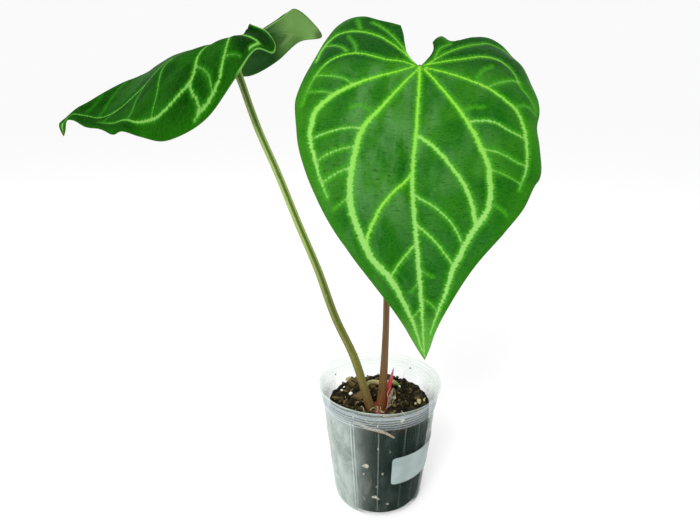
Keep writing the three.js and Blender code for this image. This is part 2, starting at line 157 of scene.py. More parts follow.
def marked(piece, name):
    attribute = piece.data.attributes[name]
    width = 1 if attribute.data_type == "FLOAT" else 3
    flat = np.empty(len(piece.data.vertices) * width, np.float32)
    attribute.data.foreach_get("value" if width == 1 else "vector", flat)
    return flat.astype(float) if width == 1 else flat.reshape(-1, 3).astype(float)


def close_up(piece, gap=0.01):
    """Merges the vertices that lie within this many mm of each other."""
    edit_all(piece, bpy.ops.mesh.remove_doubles, threshold=gap * MM)


def face_outwards(piece):
    edit_all(piece, bpy.ops.mesh.normals_make_consistent, inside=False)


def join(pieces, name):
    bpy.ops.object.select_all(action="DESELECT")
    for piece in pieces:
        piece.select_set(True)
    bpy.context.view_layer.objects.active = pieces[0]
    bpy.ops.object.join()
    pieces[0].name = pieces[0].data.name = name
    return pieces[0]


def apply(piece, kind, **settings):
    """Adds a modifier and applies it."""
    pick(piece)
    modifier = piece.modifiers.new(kind.title(), kind)
    for setting, value in settings.items():
        setattr(modifier, setting, value)
    bpy.ops.object.modifier_apply(modifier=modifier.name)


def round_off(piece, angle=180):
    """Shades the piece smooth, apart from edges sharper than this many degrees."""
    pick(piece)
    if angle >= 180:
        bpy.ops.object.shade_smooth()
    else:
        bpy.ops.object.shade_smooth_by_angle(angle=math.radians(angle))


def settle(piece, slot, *nodes):
    """The piece stands for its CAD nodes, which are hidden, and rides on the one body; the slot is not used.
    """
    if nodes:
        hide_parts(*nodes)
    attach(piece, "root")


def uneven(places, size, seed=0.0):
    """Smooth noise from -1 to 1 at each place, with lumps of about this size."""
    return np.array([noise.noise(Vector(place) / size + Vector((seed, seed, seed))) for place in places])


# Materials

class Finish:
    """A material's nodes, added from the pattern up to the shader."""

    def __init__(self, name, **shader):
        self.material = bpy.data.materials.new(name)
        self.material.use_nodes = True
        self.tree = self.material.node_tree
        self.shader = self.tree.nodes["Principled BSDF"]
        for socket, value in shader.items():
            self.shader.inputs[socket.replace("_", " ")].default_value = value

    def add(self, kind, inputs, **settings):
        node = self.tree.nodes.new(kind)
        for setting, value in settings.items():
            setattr(node, setting, value)
        for socket, value in inputs.items():
            if isinstance(value, bpy.types.NodeSocket):
                self.tree.links.new(value, node.inputs[socket])
            else:
                node.inputs[socket].default_value = value
        return node

    def number(self, name):
        return self.add("ShaderNodeAttribute", {}, attribute_name=name).outputs["Fac"]

    def vector(self, name):
        return self.add("ShaderNodeAttribute", {}, attribute_name=name).outputs["Vector"]

    def place(self):
        """Object coordinates in millimetres."""
        place = self.add("ShaderNodeTexCoord", {}).outputs["Object"]
        return self.stretch(place, (1000, 1000, 1000))

    def stretch(self, vector, scale):
        return self.add("ShaderNodeMapping", {"Vector": vector, "Scale": scale}).outputs["Vector"]

    def grain(self, vector, scale, detail=3.0, roughness=0.55, distortion=0.0):
        inputs = {"Vector": vector, "Scale": scale, "Detail": detail, "Roughness": roughness,
                  "Distortion": distortion}
        return self.add("ShaderNodeTexNoise", inputs).outputs["Fac"]

    def cells(self, vector, scale, feature="F1"):
        node = self.add("ShaderNodeTexVoronoi", {"Vector": vector, "Scale": scale}, feature=feature)
        return node.outputs["Distance"]

    def ramp(self, value, low, high, start=0.0, end=1.0):
        inputs = {"Value": value, "From Min": low, "From Max": high, "To Min": start, "To Max": end}
        return self.add("ShaderNodeMapRange", inputs, interpolation_type="SMOOTHSTEP").outputs["Result"]

    def sum(self, operation, first, second=0.0, third=0.0):
        return self.add("ShaderNodeMath", {0: first, 1: second, 2: third}, operation=operation).outputs[0]

    def mix(self, share, below, above):
        """Two colours, from below at share 0 to above at share 1."""
        inputs = {0: share, 6: colour(below), 7: colour(above)}
        return self.add("ShaderNodeMix", inputs, data_type="RGBA").outputs[2]

    def bump(self, height, distance, strength=1.0):
        inputs = {"Height": height, "Distance": distance * MM, "Strength": strength}
        return self.add("ShaderNodeBump", inputs).outputs["Normal"]

    def give(self, socket, value):
        self.tree.links.new(value, self.shader.inputs[socket])

    def parts(self, vector):
        split = self.add("ShaderNodeSeparateXYZ", {"Vector": vector})
        return split.outputs["X"], split.outputs["Y"], split.outputs["Z"]

    def away(self, place):
        """How many millimetres the surface is from a place."""
        inputs = {0: self.place(), 1: place}
        return self.add("ShaderNodeVectorMath", inputs, operation="DISTANCE").outputs["Value"]

    def two_tones(self, pattern, low, high, first, second, depth=0.0, strength=1.0):
        """Two colours by a pattern, which also gives the relief where it has a depth."""
        self.give("Base Color", self.mix(self.ramp(pattern, low, high), first, second))
        if depth:
            self.give("Normal", self.bump(pattern, depth, strength))


def colour(value):
    return value if isinstance(value, bpy.types.NodeSocket) else (*value, 1)


def times(share, tone):
    """A tone made darker or brighter."""
    return tuple(share * part for part in tone)


# Veins: half-width at the start and at the end in mm, how young the vein looks there, and its points
# in leaf coordinates. u runs from the petiole to the tip and v across.

LARGE_VEINS = [
    (1.5, 1.7, 1, [(0, 0), (60, 0), (120, 0), (178, 0)]),
    (0.9, 2.1, 1, [(2, -1), (13, -9), (28, -19), (49, -32), (61, -34), (79, -36), (88, -36), (100, -33),
                   (116, -27), (129, -17), (144, -10), (154, -6), (173, -1)]),
    (0.8, 2.1, 1, [(1, -4), (6, -14), (11, -26), (23, -48), (30, -56), (37, -61), (44, -62), (54, -62),
                   (69, -56), (83, -49)]),
    (0.8, 1.0, 1, [(0, -3), (-2, -9), (-3, -20), (-10, -42), (-9, -49), (-6, -55), (2, -61), (18, -67),
                   (32, -70)]),
    (0.8, 0.9, 1, [(-2, -3), (-12, -12), (-26, -27), (-33, -42), (-33, -51), (-29, -56), (-21, -61),
                   (-8, -65)]),
    (0.7, 0.4, 1, [(-4, -5), (-17, -12), (-32, -22), (-38, -28)]),
    (1.0, 0.9, 0, [(47, -32), (47, -38), (49, -46), (52, -53), (55, -59)]),
    (0.8, 0.7, 0, [(59, -35), (61, -43), (64, -50), (67, -55)]),
    (0.8, 0.7, 0, [(70, -35), (71, -40), (74, -47), (76, -51)]),
    (0.7, 0.3, 0, [(84, -37), (86, -41), (89, -46)]),
    (0.8, 0.7, 0, [(18, -39), (13, -45), (10, -53), (8, -63)]),
    (0.7, 0.6, 0, [(24, -51), (22, -59), (22, -66)]),
    (0.7, 0.6, 0, [(-13, -45), (-18, -48), (-22, -54), (-23, -59)]),
    (0.5, 0.3, 0, [(-11, -39), (-19, -40), (-28, -44)]),
    (0.5, 0.4, 0, [(-34, -36), (-42, -38)]),
    (0.3, 0.3, 0, [(34, -29), (32, -34), (33, -39)]),
    (1.2, 1.5, 0.8, [(71, -1), (75, -4), (81, -11), (87, -17), (99, -25), (108, -28.5), (115, -27.5)]),
    (1.0, 0.9, 0.3, [(111, -1), (116, -6), (121, -11), (129, -17)]),
    (0.7, 0.5, 0, [(148, -1), (154, -7)]),
    (0.5, 0.2, 0, [(134, -2), (138, -6)]),
    (1.1, 1.9, 1, [(2, 3), (12, 11), (31, 26), (51, 38), (62, 43), (76, 44), (85, 44), (94, 42), (109, 30),
                   (117, 25), (129, 18), (140, 14), (150, 9), (163, 4)]),
    (0.9, 1.5, 1, [(1, 4), (6, 24), (12, 44), (17, 53), (22, 60), (31, 64), (43, 66), (60, 66), (74, 63),
                   (83, 61)]),
    (0.8, 0.9, 1, [(-1, 3), (-8, 27), (-14, 44), (-14, 53), (-9, 60), (5, 66), (11, 72), (18, 75)]),
    (0.6, 0.5, 0.8, [(-2, 5), (-13, 19), (-25, 39), (-30, 49), (-29, 57), (-25, 65)]),
    (0.4, 0.3, 0.6, [(-6, 9), (-16, 14), (-20, 20)]),
    (1.1, 0.9, 0, [(36, 31), (34, 38), (34, 46), (38, 55), (41, 64)]),
    (0.8, 0.7, 0, [(52, 39), (52, 46), (54, 54), (57, 61), (58, 66)]),
    (0.7, 0.6, 0, [(65, 45), (67, 51), (71, 57), (77, 62)]),
    (0.7, 0.7, 0, [(10, 42), (5, 50), (1, 59), (0, 65)]),
    (0.5, 0.4, 0, [(20, 60), (17, 68), (21, 74)]),
    (0.3, 0.2, 0, [(29, 26), (27, 30), (25, 39)]),
    (0.4, 0.3, 0, [(5, 35), (-1, 39), (-6, 46)]),
    (0.4, 0.3, 0, [(93, 45), (95, 48), (99, 52)]),
    (1.4, 1.6, 0.3, [(47, 1), (51, 8), (58, 16), (65, 22), (73, 27), (87, 32), (103, 34)]),
    (0.9, 0.8, 0.1, [(83, 1), (93, 14), (106, 23), (112, 25)]),
    (1.0, 0.8, 0.3, [(100, 1), (111, 11), (124, 19)]),
    (0.5, 0.3, 0, [(126, 1), (130, 7)]),
    (0.6, 0.5, 0, [(142, 0), (145, 5), (149, 8)]),
]

LEFT_VEINS = [
    (0.9, 1.0, 0.8, [(0, 0), (45, 0), (90, 0), (142, 0)]),
    (1.0, 1.3, 0.5, [(0, 0), (8, 12), (22, 29), (28, 43), (33, 45), (45, 48), (53, 47), (62, 42), (71, 36),
                     (79, 29), (90, 22), (104, 12)]),
    (0.9, 1.4, 0.6, [(0, 0), (0, 14), (1, 34), (8, 49), (13, 56), (18, 58), (26, 59)]),
    (1.1, 0.9, 0, [(29, 44), (28, 50), (26, 54), (26, 59), (29, 61)]),
    (0.7, 0.6, 0, [(24, 36), (19, 43), (17, 49), (17, 57)]),
    (0.7, 0.6, 0, [(5, 48), (0, 50), (-7, 53)]),
    (1.3, 1.5, 0.4, [(0, 0), (-3, 14), (-6, 25), (-15, 36), (-21, 40), (-26, 43), (-23, 48), (-18, 50)]),
    (0.8, 0.6, 0.2, [(41, 0), (48, 11), (50, 22), (52, 32), (58, 42)]),
    (0.6, 0.5, 0.1, [(67, 0), (73, 12), (75, 21), (78, 27)]),
    (0.5, 0.4, 0, [(92, 0), (97, 8), (99, 14)]),
]
FAR_TIP_VEINS = [
    (0.9, 1.2, 0.3, [(0, 0), (8, -12), (22, -29), (33, -45), (45, -48), (62, -42)]),
    (0.2, 0.2, 0, [(88, -38), (93, -32), (97, -25), (101, -14), (106, 0)]),
    (0.1, 0.1, 0, [(106, -26), (109, -17), (114, -5)]),
]


def vein_marks(places, veins):
    """For each leaf place: mm beyond the nearest vein's edge, the place along and across that vein, how young
    it looks there and how wide it is. Veins that meet run into each other softly, and the long ones taper."""
    soft = np.zeros(len(places))
    far = 1e3
    nearest = np.full(len(places), far)
    run = np.zeros((len(places), 3))
    youth = np.zeros(len(places))
    width = np.ones(len(places))
    blur = 0.45
    long_vein, full_width_at, taper, ages_over = 90, 60, 45, 95
    between_veins = 9.0
    for number, (start, end, young, points) in enumerate(veins):
        length = measured(points)[-1, 0]
        line = along(points, np.linspace(0, 1, max(3, int(length / 2))))
        walked = measured(line)[:, 0]
        best = np.full(len(places), far)
        spot = np.zeros(len(places))
        side = np.ones(len(places))
        for i in range(len(line) - 1):
            step = line[i + 1] - line[i]
            away = places - line[i]
            share = np.clip(away @ step / (step @ step), 0, 1)
            gap = np.linalg.norm(away - share[:, None] * step, axis=1)
            closer = gap < best
            best[closer] = gap[closer]
            spot[closer] = walked[i] + share[closer] * (walked[i + 1] - walked[i])
            side[closer] = np.sign(away[closer, 0] * step[1] - away[closer, 1] * step[0])
        half = start + (end - start) * np.clip(spot / (full_width_at if length > long_vein else length), 0, 1)
        if length > long_vein:
            half *= 1 - 0.65 * np.clip((spot - length + taper) / taper, 0, 1)
        edge = best - half
        soft += np.exp(-np.clip(edge, -6, 30) / blur)
        closer = edge < nearest
        nearest[closer] = edge[closer]
        run[closer] = np.column_stack([spot, best * side, np.full(len(spot), number * between_veins)])[closer]
        youth[closer] = (young * np.clip(1.15 - spot / ages_over, 0, 1))[closer]
        width[closer] = half[closer]
    return -blur * np.log(soft), run, youth, width


# Leaves

# The large leaf's midrib: the distance from the petiole and the place there
LARGE_SPINE = [
    [-45, 20, 10, 358], [0, 19.5, -20, 325], [43, 16, -42.5, 289], [74, 13, -57, 261.7],
    [110, 15, -71.4, 228.3], [142, 17.5, -81.2, 198], [178, 19.8, -90.2, 163.7],
]
LARGE_WIDTH = 75
# Slopes of its right and left half in degrees, by that distance: at the midrib and at the margin
LARGE_RISE = [[-45, -6, 5], [0, 4, 10], [60, 12, 12], [178, 8, 8]]
LARGE_FALL = [[-45, -34, -32], [0, -27, -24], [60, -16, -18], [178, -10, -10]]
LARGE_MIDRIB = [[0, 0], [178, 0]]
# The outline of each half in leaf coordinates: the notch's edge, the lobe and the blade
LARGE_RIGHT = (
    [[-20, 8.5], [-15, 9], [-10, 7.5], [-4.5, 4], [0, 0]],
    [[-20, 8.5], [-25, 12], [-27, 15], [-23.5, 20], [-24.5, 26], [-33, 40], [-38, 54.5], [-34.5, 61.5],
     [-26, 66.5], [-17, 72.5], [-3, 75]],
    [[-3, 75], [11, 78.5], [18, 78], [31, 74.5], [42, 75], [59, 76], [81, 70], [94, 64], [111, 47], [128, 30],
     [145, 17], [163, 6.5], [172, 3], [178, 0]],
)
LARGE_LEFT = (
    [[-34, 11], [-25, 9.5], [-18, 9], [-8, 7], [-3, 3.5], [0, 0]],
    [[-34, 11], [-40, 23.5], [-46, 35], [-46.5, 42.5], [-42, 52], [-32, 59], [-15, 65.5], [3, 70.5]],
    [[3, 70.5], [16.5, 73.5], [27, 75], [43, 72.5], [57, 69.5], [83, 55.5], [109, 41.5], [132, 26.5],
     [157, 11], [167, 6], [178, 0]],
)


def large_place(u, v):
    """Leaf places on the large leaf's surface, which bends along the midrib and falls away to its margins."""
    centre = smooth(LARGE_SPINE, u)
    ahead = smooth(LARGE_SPINE, u + 0.5) - smooth(LARGE_SPINE, u - 0.5)
    ahead /= np.linalg.norm(ahead, axis=1)[:, None]
    across = np.array([1.0, 0, 0]) - ahead[:, :1] * ahead
    across /= np.linalg.norm(across, axis=1)[:, None]
    out = np.cross(ahead, across)
    half = (v < 0).astype(int)
    row = np.arange(len(u))
    near, far = smooth(LARGE_RISE, u)[row, half], smooth(LARGE_FALL, u)[row, half]
    width = np.abs(v)
    steps = 16
    for i in range(steps):
        share = width * (i + 0.5) / steps / LARGE_WIDTH
        slope = np.radians(near + (far - near) * np.minimum(share, 1.2))
        centre += across * (np.sign(v) * np.cos(slope) * width / steps)[:, None]
        centre += out * (np.sin(slope) * width / steps)[:, None]
    return centre


def large_half(name, outline, side):
    """One half of the large leaf: its lobe, from the notch to the junction, and then the blade to its tip."""
    sinus, lobe, blade = outline
    columns, lobe_rows, blade_rows = 76, 76, 190
    piece, across, station = grid(name, columns, lobe_rows + blade_rows)
    station = station * (lobe_rows + blade_rows) / lobe_rows
    behind = np.clip(station, 0, 1)
    ahead = np.clip((station - 1) * lobe_rows / blade_rows, 0, 1)
    in_lobe = (station <= 1)[:, None]
    inner = np.where(in_lobe, along(sinus, behind), along(LARGE_MIDRIB, ahead))
    outer = np.where(in_lobe, along(lobe, behind), along(blade, ahead))
    flat = inner + (outer - inner) * across[:, None]
    flat[:, 1] *= side
    shape(piece, large_place(flat[:, 0], flat[:, 1]))
    if side > 0:
        piece.data.flip_normals()
    mark(piece, "leaf_place", np.column_stack([flat, np.zeros(len(flat))]))
    mark(piece, "margin", (1 - across) * np.linalg.norm(outer - inner, axis=1))
    return piece


# The left leaf, by the places of its midrib and of sections across it
JUNCTION = [-102, 25, 332]
MIDRIB = [
    JUNCTION, [-122, 20, 337], [-143.5, 16, 331], [-164, 12, 312], [-172, 10.5, 305], [-178, 9, 300],
    [-191.5, 4, 294], [-199, 0, 296], [-205, -3, 296.5], [-208.5, -4, 294], [-211, -5, 290.5],
    [-211, -6, 286.5],
]
DRIP_TIP = [-210.5, -7, 283]
# The inner, middle and outer point of each section of a lobe, from the notch to the junction
NEAR_LOBE = [
    [[-88, 14, 353.5], [-88, 14, 353.5], [-88, 14, 353.5]],
    [[-89.5, 16, 351], [-81.5, 8, 348], [-75, 2, 347]],
    [[-91.5, 19, 349.5], [-79.5, 2, 344.5], [-69, -8, 338]],
    [[-96, 21, 343.5], [-83, 0, 345], [-70, -14, 333]],
    [[-100, 23.5, 336.5], [-88.5, 2, 345.5], [-79, -18, 335]],
]
FAR_LOBE = [
    [[-84, 28, 349.5], [-84, 28, 349.5], [-84, 28, 349.5]],
    [[-87.5, 30, 346.5], [-81.5, 45, 354.5], [-68.5, 48, 363]],
    [[-90, 29, 342.5], [-80, 52, 355.5], [-63, 52, 368]],
    [[-93, 28, 339.5], [-76.5, 60, 355.5], [-51.5, 62, 361.5]],
    [[-95.5, 27, 336], [-78, 64, 353.5], [-44, 70, 351.5]],
    [[-98.5, 26, 334], [-84, 66, 354.5], [-61.5, 76, 348.5]],
    [[-100.5, 25.5, 332.5], [-90, 66, 353], [-79.5, 80, 335]],
]
# Beyond the junction a section starts on the midrib: the middle and outer point for each place there
NEAR_BLADE = [
    [[-100, 5, 344], [-91, -22, 320]], [[-120, 0, 331], [-112, -20, 295]],
    [[-141, -3, 316], [-135, -22, 282]], [[-162, -6, 298], [-157, -18, 283.5]],
    [[-170, -6, 295], [-168, -17, 286.5]], [[-177, -6, 292], [-173, -17, 284.5]],
    [[-190, -5, 291], [-185, -12, 288]], [[-198, -5, 292], [-195, -9, 289]],
    [[-204.5, -5, 295], [-203, -7, 293]], [[-208, -4.5, 293.5], [-207.5, -5, 293]],
    [[-210, -5.5, 290], [-209, -5, 290]], [[-210, -6.5, 286.5], [-209.5, -6, 286.5]],
]
FAR_BLADE = [
    [[-100.5, 60, 347], [-100, 82, 324.5]], [[-122, 48, 340], [-122, 78, 328]],
    [[-148, 45, 336], [-154, 72, 336.5]], [[-169, 35, 320], [-175, 57, 325]],
    [[-176.5, 30, 313.5], [-182, 50, 321]], [[-182, 26, 309], [-186.5, 44, 318.5]],
    [[-194, 15, 301.5], [-196.5, 26, 310]], [[-200.5, 8, 300], [-202, 16, 304.5]],
    [[-205.5, 0, 298], [-206, 4, 299.5]], [[-209, -4, 294], [-209, -4, 294.5]],
    [[-212, -5.5, 290.5], [-213, -5, 291]], [[-211.5, -6.5, 287], [-212.5, -6, 287]],
]
# Leaf places of the inner and outer ends of the lobes' sections, from the notch to the junction, and then
# half-widths along the blade
NEAR_LOBE_FLAT = [[-29, 8, -29, 8], [-24, 8, -36, 19], [-17, 8, -38, 31], [-9, 6, -35, 42], [-4, 4, -26, 51]]
FAR_LOBE_FLAT = [[-29, 8, -29, 8], [-24, 8, -38, 19], [-20, 8, -41, 28], [-15, 7, -42, 38], [-9, 6, -38, 48],
                 [-5, 4, -28, 54], [-2, 2, -14, 58]]
BLADE_FLAT = [[0, 61], [22, 63], [44, 64], [72, 50], [82, 45], [90, 40], [106, 28], [115, 19], [121.6, 9],
              [126, 1.5], [133, 2.5], [137, 1.8], [142, 0]]


def left_half(name, lobe, blade, lobe_flat, side):
    """One half of the left leaf, through the inner, middle and outer point of each section."""
    midrib = measured([*MIDRIB, DRIP_TIP])
    knots = list(midrib[:, 0])
    sections = [[*middle, *outer] for middle, outer in blade] + [[*DRIP_TIP, *DRIP_TIP]]
    flats = [[u, 0, u, half] for u, half in BLADE_FLAT]
    sinus = [[0, *JUNCTION]]
    last = [JUNCTION, *blade[0]]
    back = 0.0
    for section, flat in zip(lobe[::-1], lobe_flat[::-1]):
        back -= sum(math.dist(point, before) for point, before in zip(section, last)) / 3
        knots.insert(0, back)
        sections.insert(0, [*section[1], *section[2]])
        flats.insert(0, flat)
        sinus.insert(0, [back, *section[0]])
        last = section
    columns, lobe_rows, blade_rows = 62, 60, 170
    piece, across, station = grid(name, columns, lobe_rows + blade_rows)
    row = station * (lobe_rows + blade_rows) / lobe_rows
    knot = np.where(row < 1, back * (1 - row), knots[-1] * (row - 1) * lobe_rows / blade_rows)
    in_lobe = (knot < 0)[:, None]
    inner = np.where(in_lobe, smooth(sinus, np.minimum(knot, 0)), smooth(midrib, np.maximum(knot, 0)))
    values = smooth(np.column_stack([knots, sections]), knot)
    middle, outer = values[:, :3], values[:, 3:]
    ends = smooth(np.column_stack([knots, flats]), knot)
    t = across[:, None]
    shape(piece, (1 - t) * (1 - 2 * t) * inner + 4 * t * (1 - t) * middle + t * (2 * t - 1) * outer)
    if side > 0:
        piece.data.flip_normals()
    flat = ends[:, :2] * (1 - t) + ends[:, 2:] * t
    flat[:, 1] *= side
    mark(piece, "leaf_place", np.column_stack([flat, np.zeros(len(flat))]))
    mark(piece, "margin", (1 - across) * np.linalg.norm(ends[:, 2:] - ends[:, :2], axis=1))
    return piece


def leaf(halves, name, veins, upper, lower, swell):
    """Joins two halves, raises the blade between its veins and gives it thickness, with ribs below."""
    blade = join(halves, name)
    close_up(blade, 0.004)
    place = marked(blade, "leaf_place")
    margin = marked(blade, "margin")
    edge, run, youth, width = vein_marks(place[:, :2], veins)
    mark(blade, "vein_edge", edge)
    mark(blade, "vein_run", run)
    mark(blade, "vein_youth", youth)
    mark(blade, "vein_width", width)
    inside = np.clip(margin / 4, 0, 1)
    lift = swell * (1 - np.exp(-np.maximum(edge, 0) / 4.5)) * inside
    lift += 0.22 * uneven(place * [1.0, 0.45, 1], 7, 3.1) * np.clip(edge / 3, 0, 1) * inside
    lift += 0.7 * uneven(place, 17, 8.7) * np.clip(1 - margin / 16, 0, 1) * np.clip(margin, 0, 1)
    lift += 0.3 * np.exp(-(run[:, 1] / 0.55) ** 2) * youth
    shape(blade, places_of(blade) + normals_of(blade) * (lift + 0.25)[:, None])
    ribs = np.clip(0.28 + np.exp(-(np.maximum(edge + width, 0) / 1.6) ** 2) * width / 2.4, 0, 1)
    ribs *= 0.45 + 0.55 * np.clip(margin / 3, 0, 1)
    group = blade.vertex_groups.new(name="ribs")
    for i, weight in enumerate(ribs):
        group.add([i], float(weight), "REPLACE")
    blade.data.materials.append(upper)
    blade.data.materials.append(lower)
    apply(blade, "SOLIDIFY", thickness=LEAF_THICKNESS * MM, offset=-1, vertex_group="ribs", material_offset=1)
    blade.vertex_groups.clear()
    round_off(blade)
    settle(blade, "leaf", name.replace("_blade", ""))


# Dried ends of the left leaf: place, how far the brown reaches and its colour
DRY_TIPS = [
    ((-211, -7, 282.5), 4, (0.13, 0.075, 0.02)), ((-88, 14, 354), 3, (0.10, 0.06, 0.02)),
    ((-44, 70, 351), 9, (0.05, 0.09, 0.02)),
]


def dry_tips(finish, skin):
    """Browns the ends of the left leaf's tip and lobes."""
    for middle, reach, tone in DRY_TIPS:
        skin = finish.mix(finish.ramp(finish.away(middle), reach, reach * 0.3, 0, 0.85), skin, tone)
    return skin


def upper_face(name, sheen, lit_edge, deep, bright, painted_sheen, vein_old, vein_young, rib_tone):
    """Satin green, with painted shade on the lobes and in the wrinkles, a painted sheen in the middle, a
    painted highlight along the lobe margins where a lit edge is given, and pale feathered veins.
    """
    finish = Finish(name, Specular_IOR_Level=sheen)
    place = finish.vector("leaf_place")
    edge = finish.number("vein_edge")
    youth = finish.number("vein_youth")
    run = finish.vector("vein_run")
    width = finish.number("vein_width")
    margin = finish.number("margin")
    teeth = finish.sum("SUBTRACT", finish.grain(finish.stretch(run, (0.9, 0.28, 1)), 1.0, 3, 0.6), 0.5)
    bite = finish.ramp(width, 0.4, 1.4, 1.7, 5.0)
    vein = finish.ramp(finish.sum("MULTIPLY_ADD", teeth, bite, edge), 0.2, -0.95)
    glow = finish.ramp(finish.sum("MULTIPLY_ADD", teeth, 4.0, edge), 2.4, -0.2, 0, 0.55)
    wide = finish.grain(place, 0.035, 2, 0.5)
    lamina = finish.mix(finish.ramp(wide, 0.25, 0.75), deep, bright)
    down, across, _ = finish.parts(place)
    # Painted sheen: pale grey-green patches in the middle of the blade, strongest on its left half, stand in
    # for the soft light's reflection.
    sheen_patches = finish.grain(finish.stretch(place, (0.03, 0.075, 1)), 1.0, 3, 0.55)
    sheen_patches = finish.ramp(sheen_patches, 0.4, 0.66, 0, 0.7)
    sheen_area = finish.ramp(finish.sum("ABSOLUTE", across), 62, 30)
    sheen_area = finish.sum("MULTIPLY", sheen_area, finish.ramp(down, -12, 14))
    sheen_area = finish.sum("MULTIPLY", sheen_area, finish.ramp(across, 25, -15, 0.5, 1))
    lamina = finish.mix(finish.sum("MULTIPLY", sheen_patches, sheen_area), lamina, painted_sheen)
    # Painted shade: the lobes are darkened.
    lamina = finish.mix(finish.ramp(down, 6, -12, 0, 0.9), lamina, times(0.65, deep))
    lamina = finish.mix(finish.ramp(down, 70, 118, 0, 0.6), lamina, deep)
    lamina = finish.mix(finish.ramp(down, 146, 172, 0, 0.75), lamina, times(0.85, vein_old))
    # Painted shade in the fine wrinkles; the same streaks also give the roughness and the relief.
    streaks = finish.grain(finish.stretch(place, (0.95, 0.2, 1)), 1.0, 4, 0.62, 0.8)
    lamina = finish.mix(finish.ramp(streaks, 0.54, 0.70, 0, 0.6), lamina, times(0.35, deep))
    fine = finish.grain(place, 0.9, 3, 0.6)
    lamina = finish.mix(finish.ramp(fine, 0.42, 0.25, 0, 0.5), lamina, times(0.4, deep))
    lamina = finish.mix(finish.ramp(margin, 9, 1.5, 0, 0.4), lamina, times(1.1, bright))
    lamina = finish.mix(glow, lamina, times(1.8, bright))
    hairline = finish.cells(place, 0.28, "DISTANCE_TO_EDGE")
    lamina = finish.mix(finish.ramp(hairline, 0.06, 0.0, 0, 0.05), lamina, vein_old)
    pale = finish.mix(youth, vein_old, vein_young)
    shaded = finish.mix(finish.ramp(edge, -0.9, 0.2, 0, 0.4), pale, bright)
    middle = finish.sum("ABSOLUTE", finish.parts(run)[1])
    rib = finish.sum("MULTIPLY", finish.ramp(middle, 0.75, 0.1), finish.ramp(youth, 0.1, 0.7))
    shaded = finish.mix(finish.sum("MULTIPLY", rib, 0.75), shaded, rib_tone)
    skin = finish.mix(vein, lamina, shaded)
    rim = finish.ramp(margin, 0.55, 0.15)
    skin = finish.mix(finish.sum("MULTIPLY", rim, 0.5), skin, (0.08, 0.16, 0.03))
    # Painted highlight: a pale line along the lit margins of the lobes, on a leaf that is given a lit edge.
    painted_lit_edge = finish.sum("MULTIPLY", finish.ramp(margin, 1.7, 0.7), finish.ramp(down, 4, -4, 0, lit_edge))
    skin = finish.mix(painted_lit_edge, skin, vein_old)
    finish.give("Base Color", dry_tips(finish, skin))
    finish.give("Roughness", finish.ramp(streaks, 0.3, 0.75, 0.48 - 3 * sheen, 0.65 - 2 * sheen))
    relief = finish.sum("MULTIPLY_ADD", finish.grain(place, 1.5, 2, 0.5), 0.22, streaks)
    finish.give("Normal", finish.bump(relief, 0.6, 0.75))
    return finish.material


def lower_face(name, skin, shadow, rib, arch_shadow_at=None):
    """The matt underside with paler ribs, and a painted shadow round the stalk's end, under the arched near
    lobe, where one is given.
    """
    finish = Finish(name, Roughness=0.6, Specular_IOR_Level=0.2)
    place = finish.vector("leaf_place")
    edge = finish.number("vein_edge")
    margin = finish.number("margin")
    patches = finish.grain(place, 0.05, 3, 0.5)
    base = finish.mix(finish.ramp(patches, 0.35, 0.7, 0, 0.5), skin, shadow)
    wrinkles = finish.grain(finish.stretch(place, (0.12, 0.5, 1)), 1.0, 3, 0.6)
    base = finish.mix(finish.ramp(wrinkles, 0.56, 0.7, 0, 0.5 if arch_shadow_at else 0.25), base, shadow)
    base = finish.mix(finish.ramp(edge, 1.1, -0.4, 0, 0.8), base, rib)
    base = finish.mix(finish.ramp(margin, 0.7, 0.2, 0, 0.7), base, times(0.3, shadow))
    if arch_shadow_at:
        # Painted shadow: the underside near the stalk's end is darkened, where the near lobe arches over it.
        painted_arch_shadow = finish.sum("MULTIPLY", finish.ramp(finish.parts(finish.place())[0], -68, -84),
                            finish.ramp(finish.away(arch_shadow_at), 90, 60))
        base = finish.mix(painted_arch_shadow, base, (0.006, 0.072, 0.002))
    finish.give("Base Color", dry_tips(finish, base))
    finish.give("Normal", finish.bump(finish.grain(place, 0.9, 3), 0.5, 0.5))
    return finish.material


upper_large = upper_face(
    "leaf_satin", sheen=0.05, lit_edge=0.0, deep=(0.001, 0.076, 0.0004), bright=(0.022, 0.145, 0.002),
    painted_sheen=(0.066, 0.195, 0.052), vein_old=(0.20, 0.45, 0.095), vein_young=(0.12, 0.40, 0.012),
    rib_tone=(0.22, 0.51, 0.045))
upper_left = upper_face(
    "leaf_satin_dark", sheen=0.01, lit_edge=0.75, deep=(0.001, 0.030, 0.0003), bright=(0.008, 0.083, 0.001),
    painted_sheen=(0.018, 0.095, 0.010), vein_old=(0.14, 0.34, 0.065), vein_young=(0.11, 0.30, 0.03),
    rib_tone=(0.14, 0.34, 0.04))
pale_below = lower_face(
    "leaf_underside", skin=(0.16, 0.34, 0.08), shadow=(0.11, 0.26, 0.05), rib=(0.24, 0.43, 0.14))
shadowed_below = lower_face(
    "leaf_underside_shadowed", skin=(0.16, 0.34, 0.08), shadow=(0.09, 0.22, 0.035), rib=(0.20, 0.38, 0.11),
    arch_shadow_at=JUNCTION)

leaf([large_half("large_right", LARGE_RIGHT, 1), large_half("large_left", LARGE_LEFT, -1)],
     "leaf_large_blade", LARGE_VEINS, upper_large, pale_below, swell=1.5)
far_veins = [(start, end, young, [(u, -v) for u, v in points])
             for start, end, young, points in LEFT_VEINS[2:7]]
leaf([left_half("left_near", NEAR_LOBE, NEAR_BLADE, NEAR_LOBE_FLAT, 1),
      left_half("left_far", FAR_LOBE, FAR_BLADE, FAR_LOBE_FLAT, -1)],
     "leaf_left_blade", LEFT_VEINS + far_veins + FAR_TIP_VEINS, upper_left, shadowed_below, swell=0.8)


# Petioles, shoot and roots

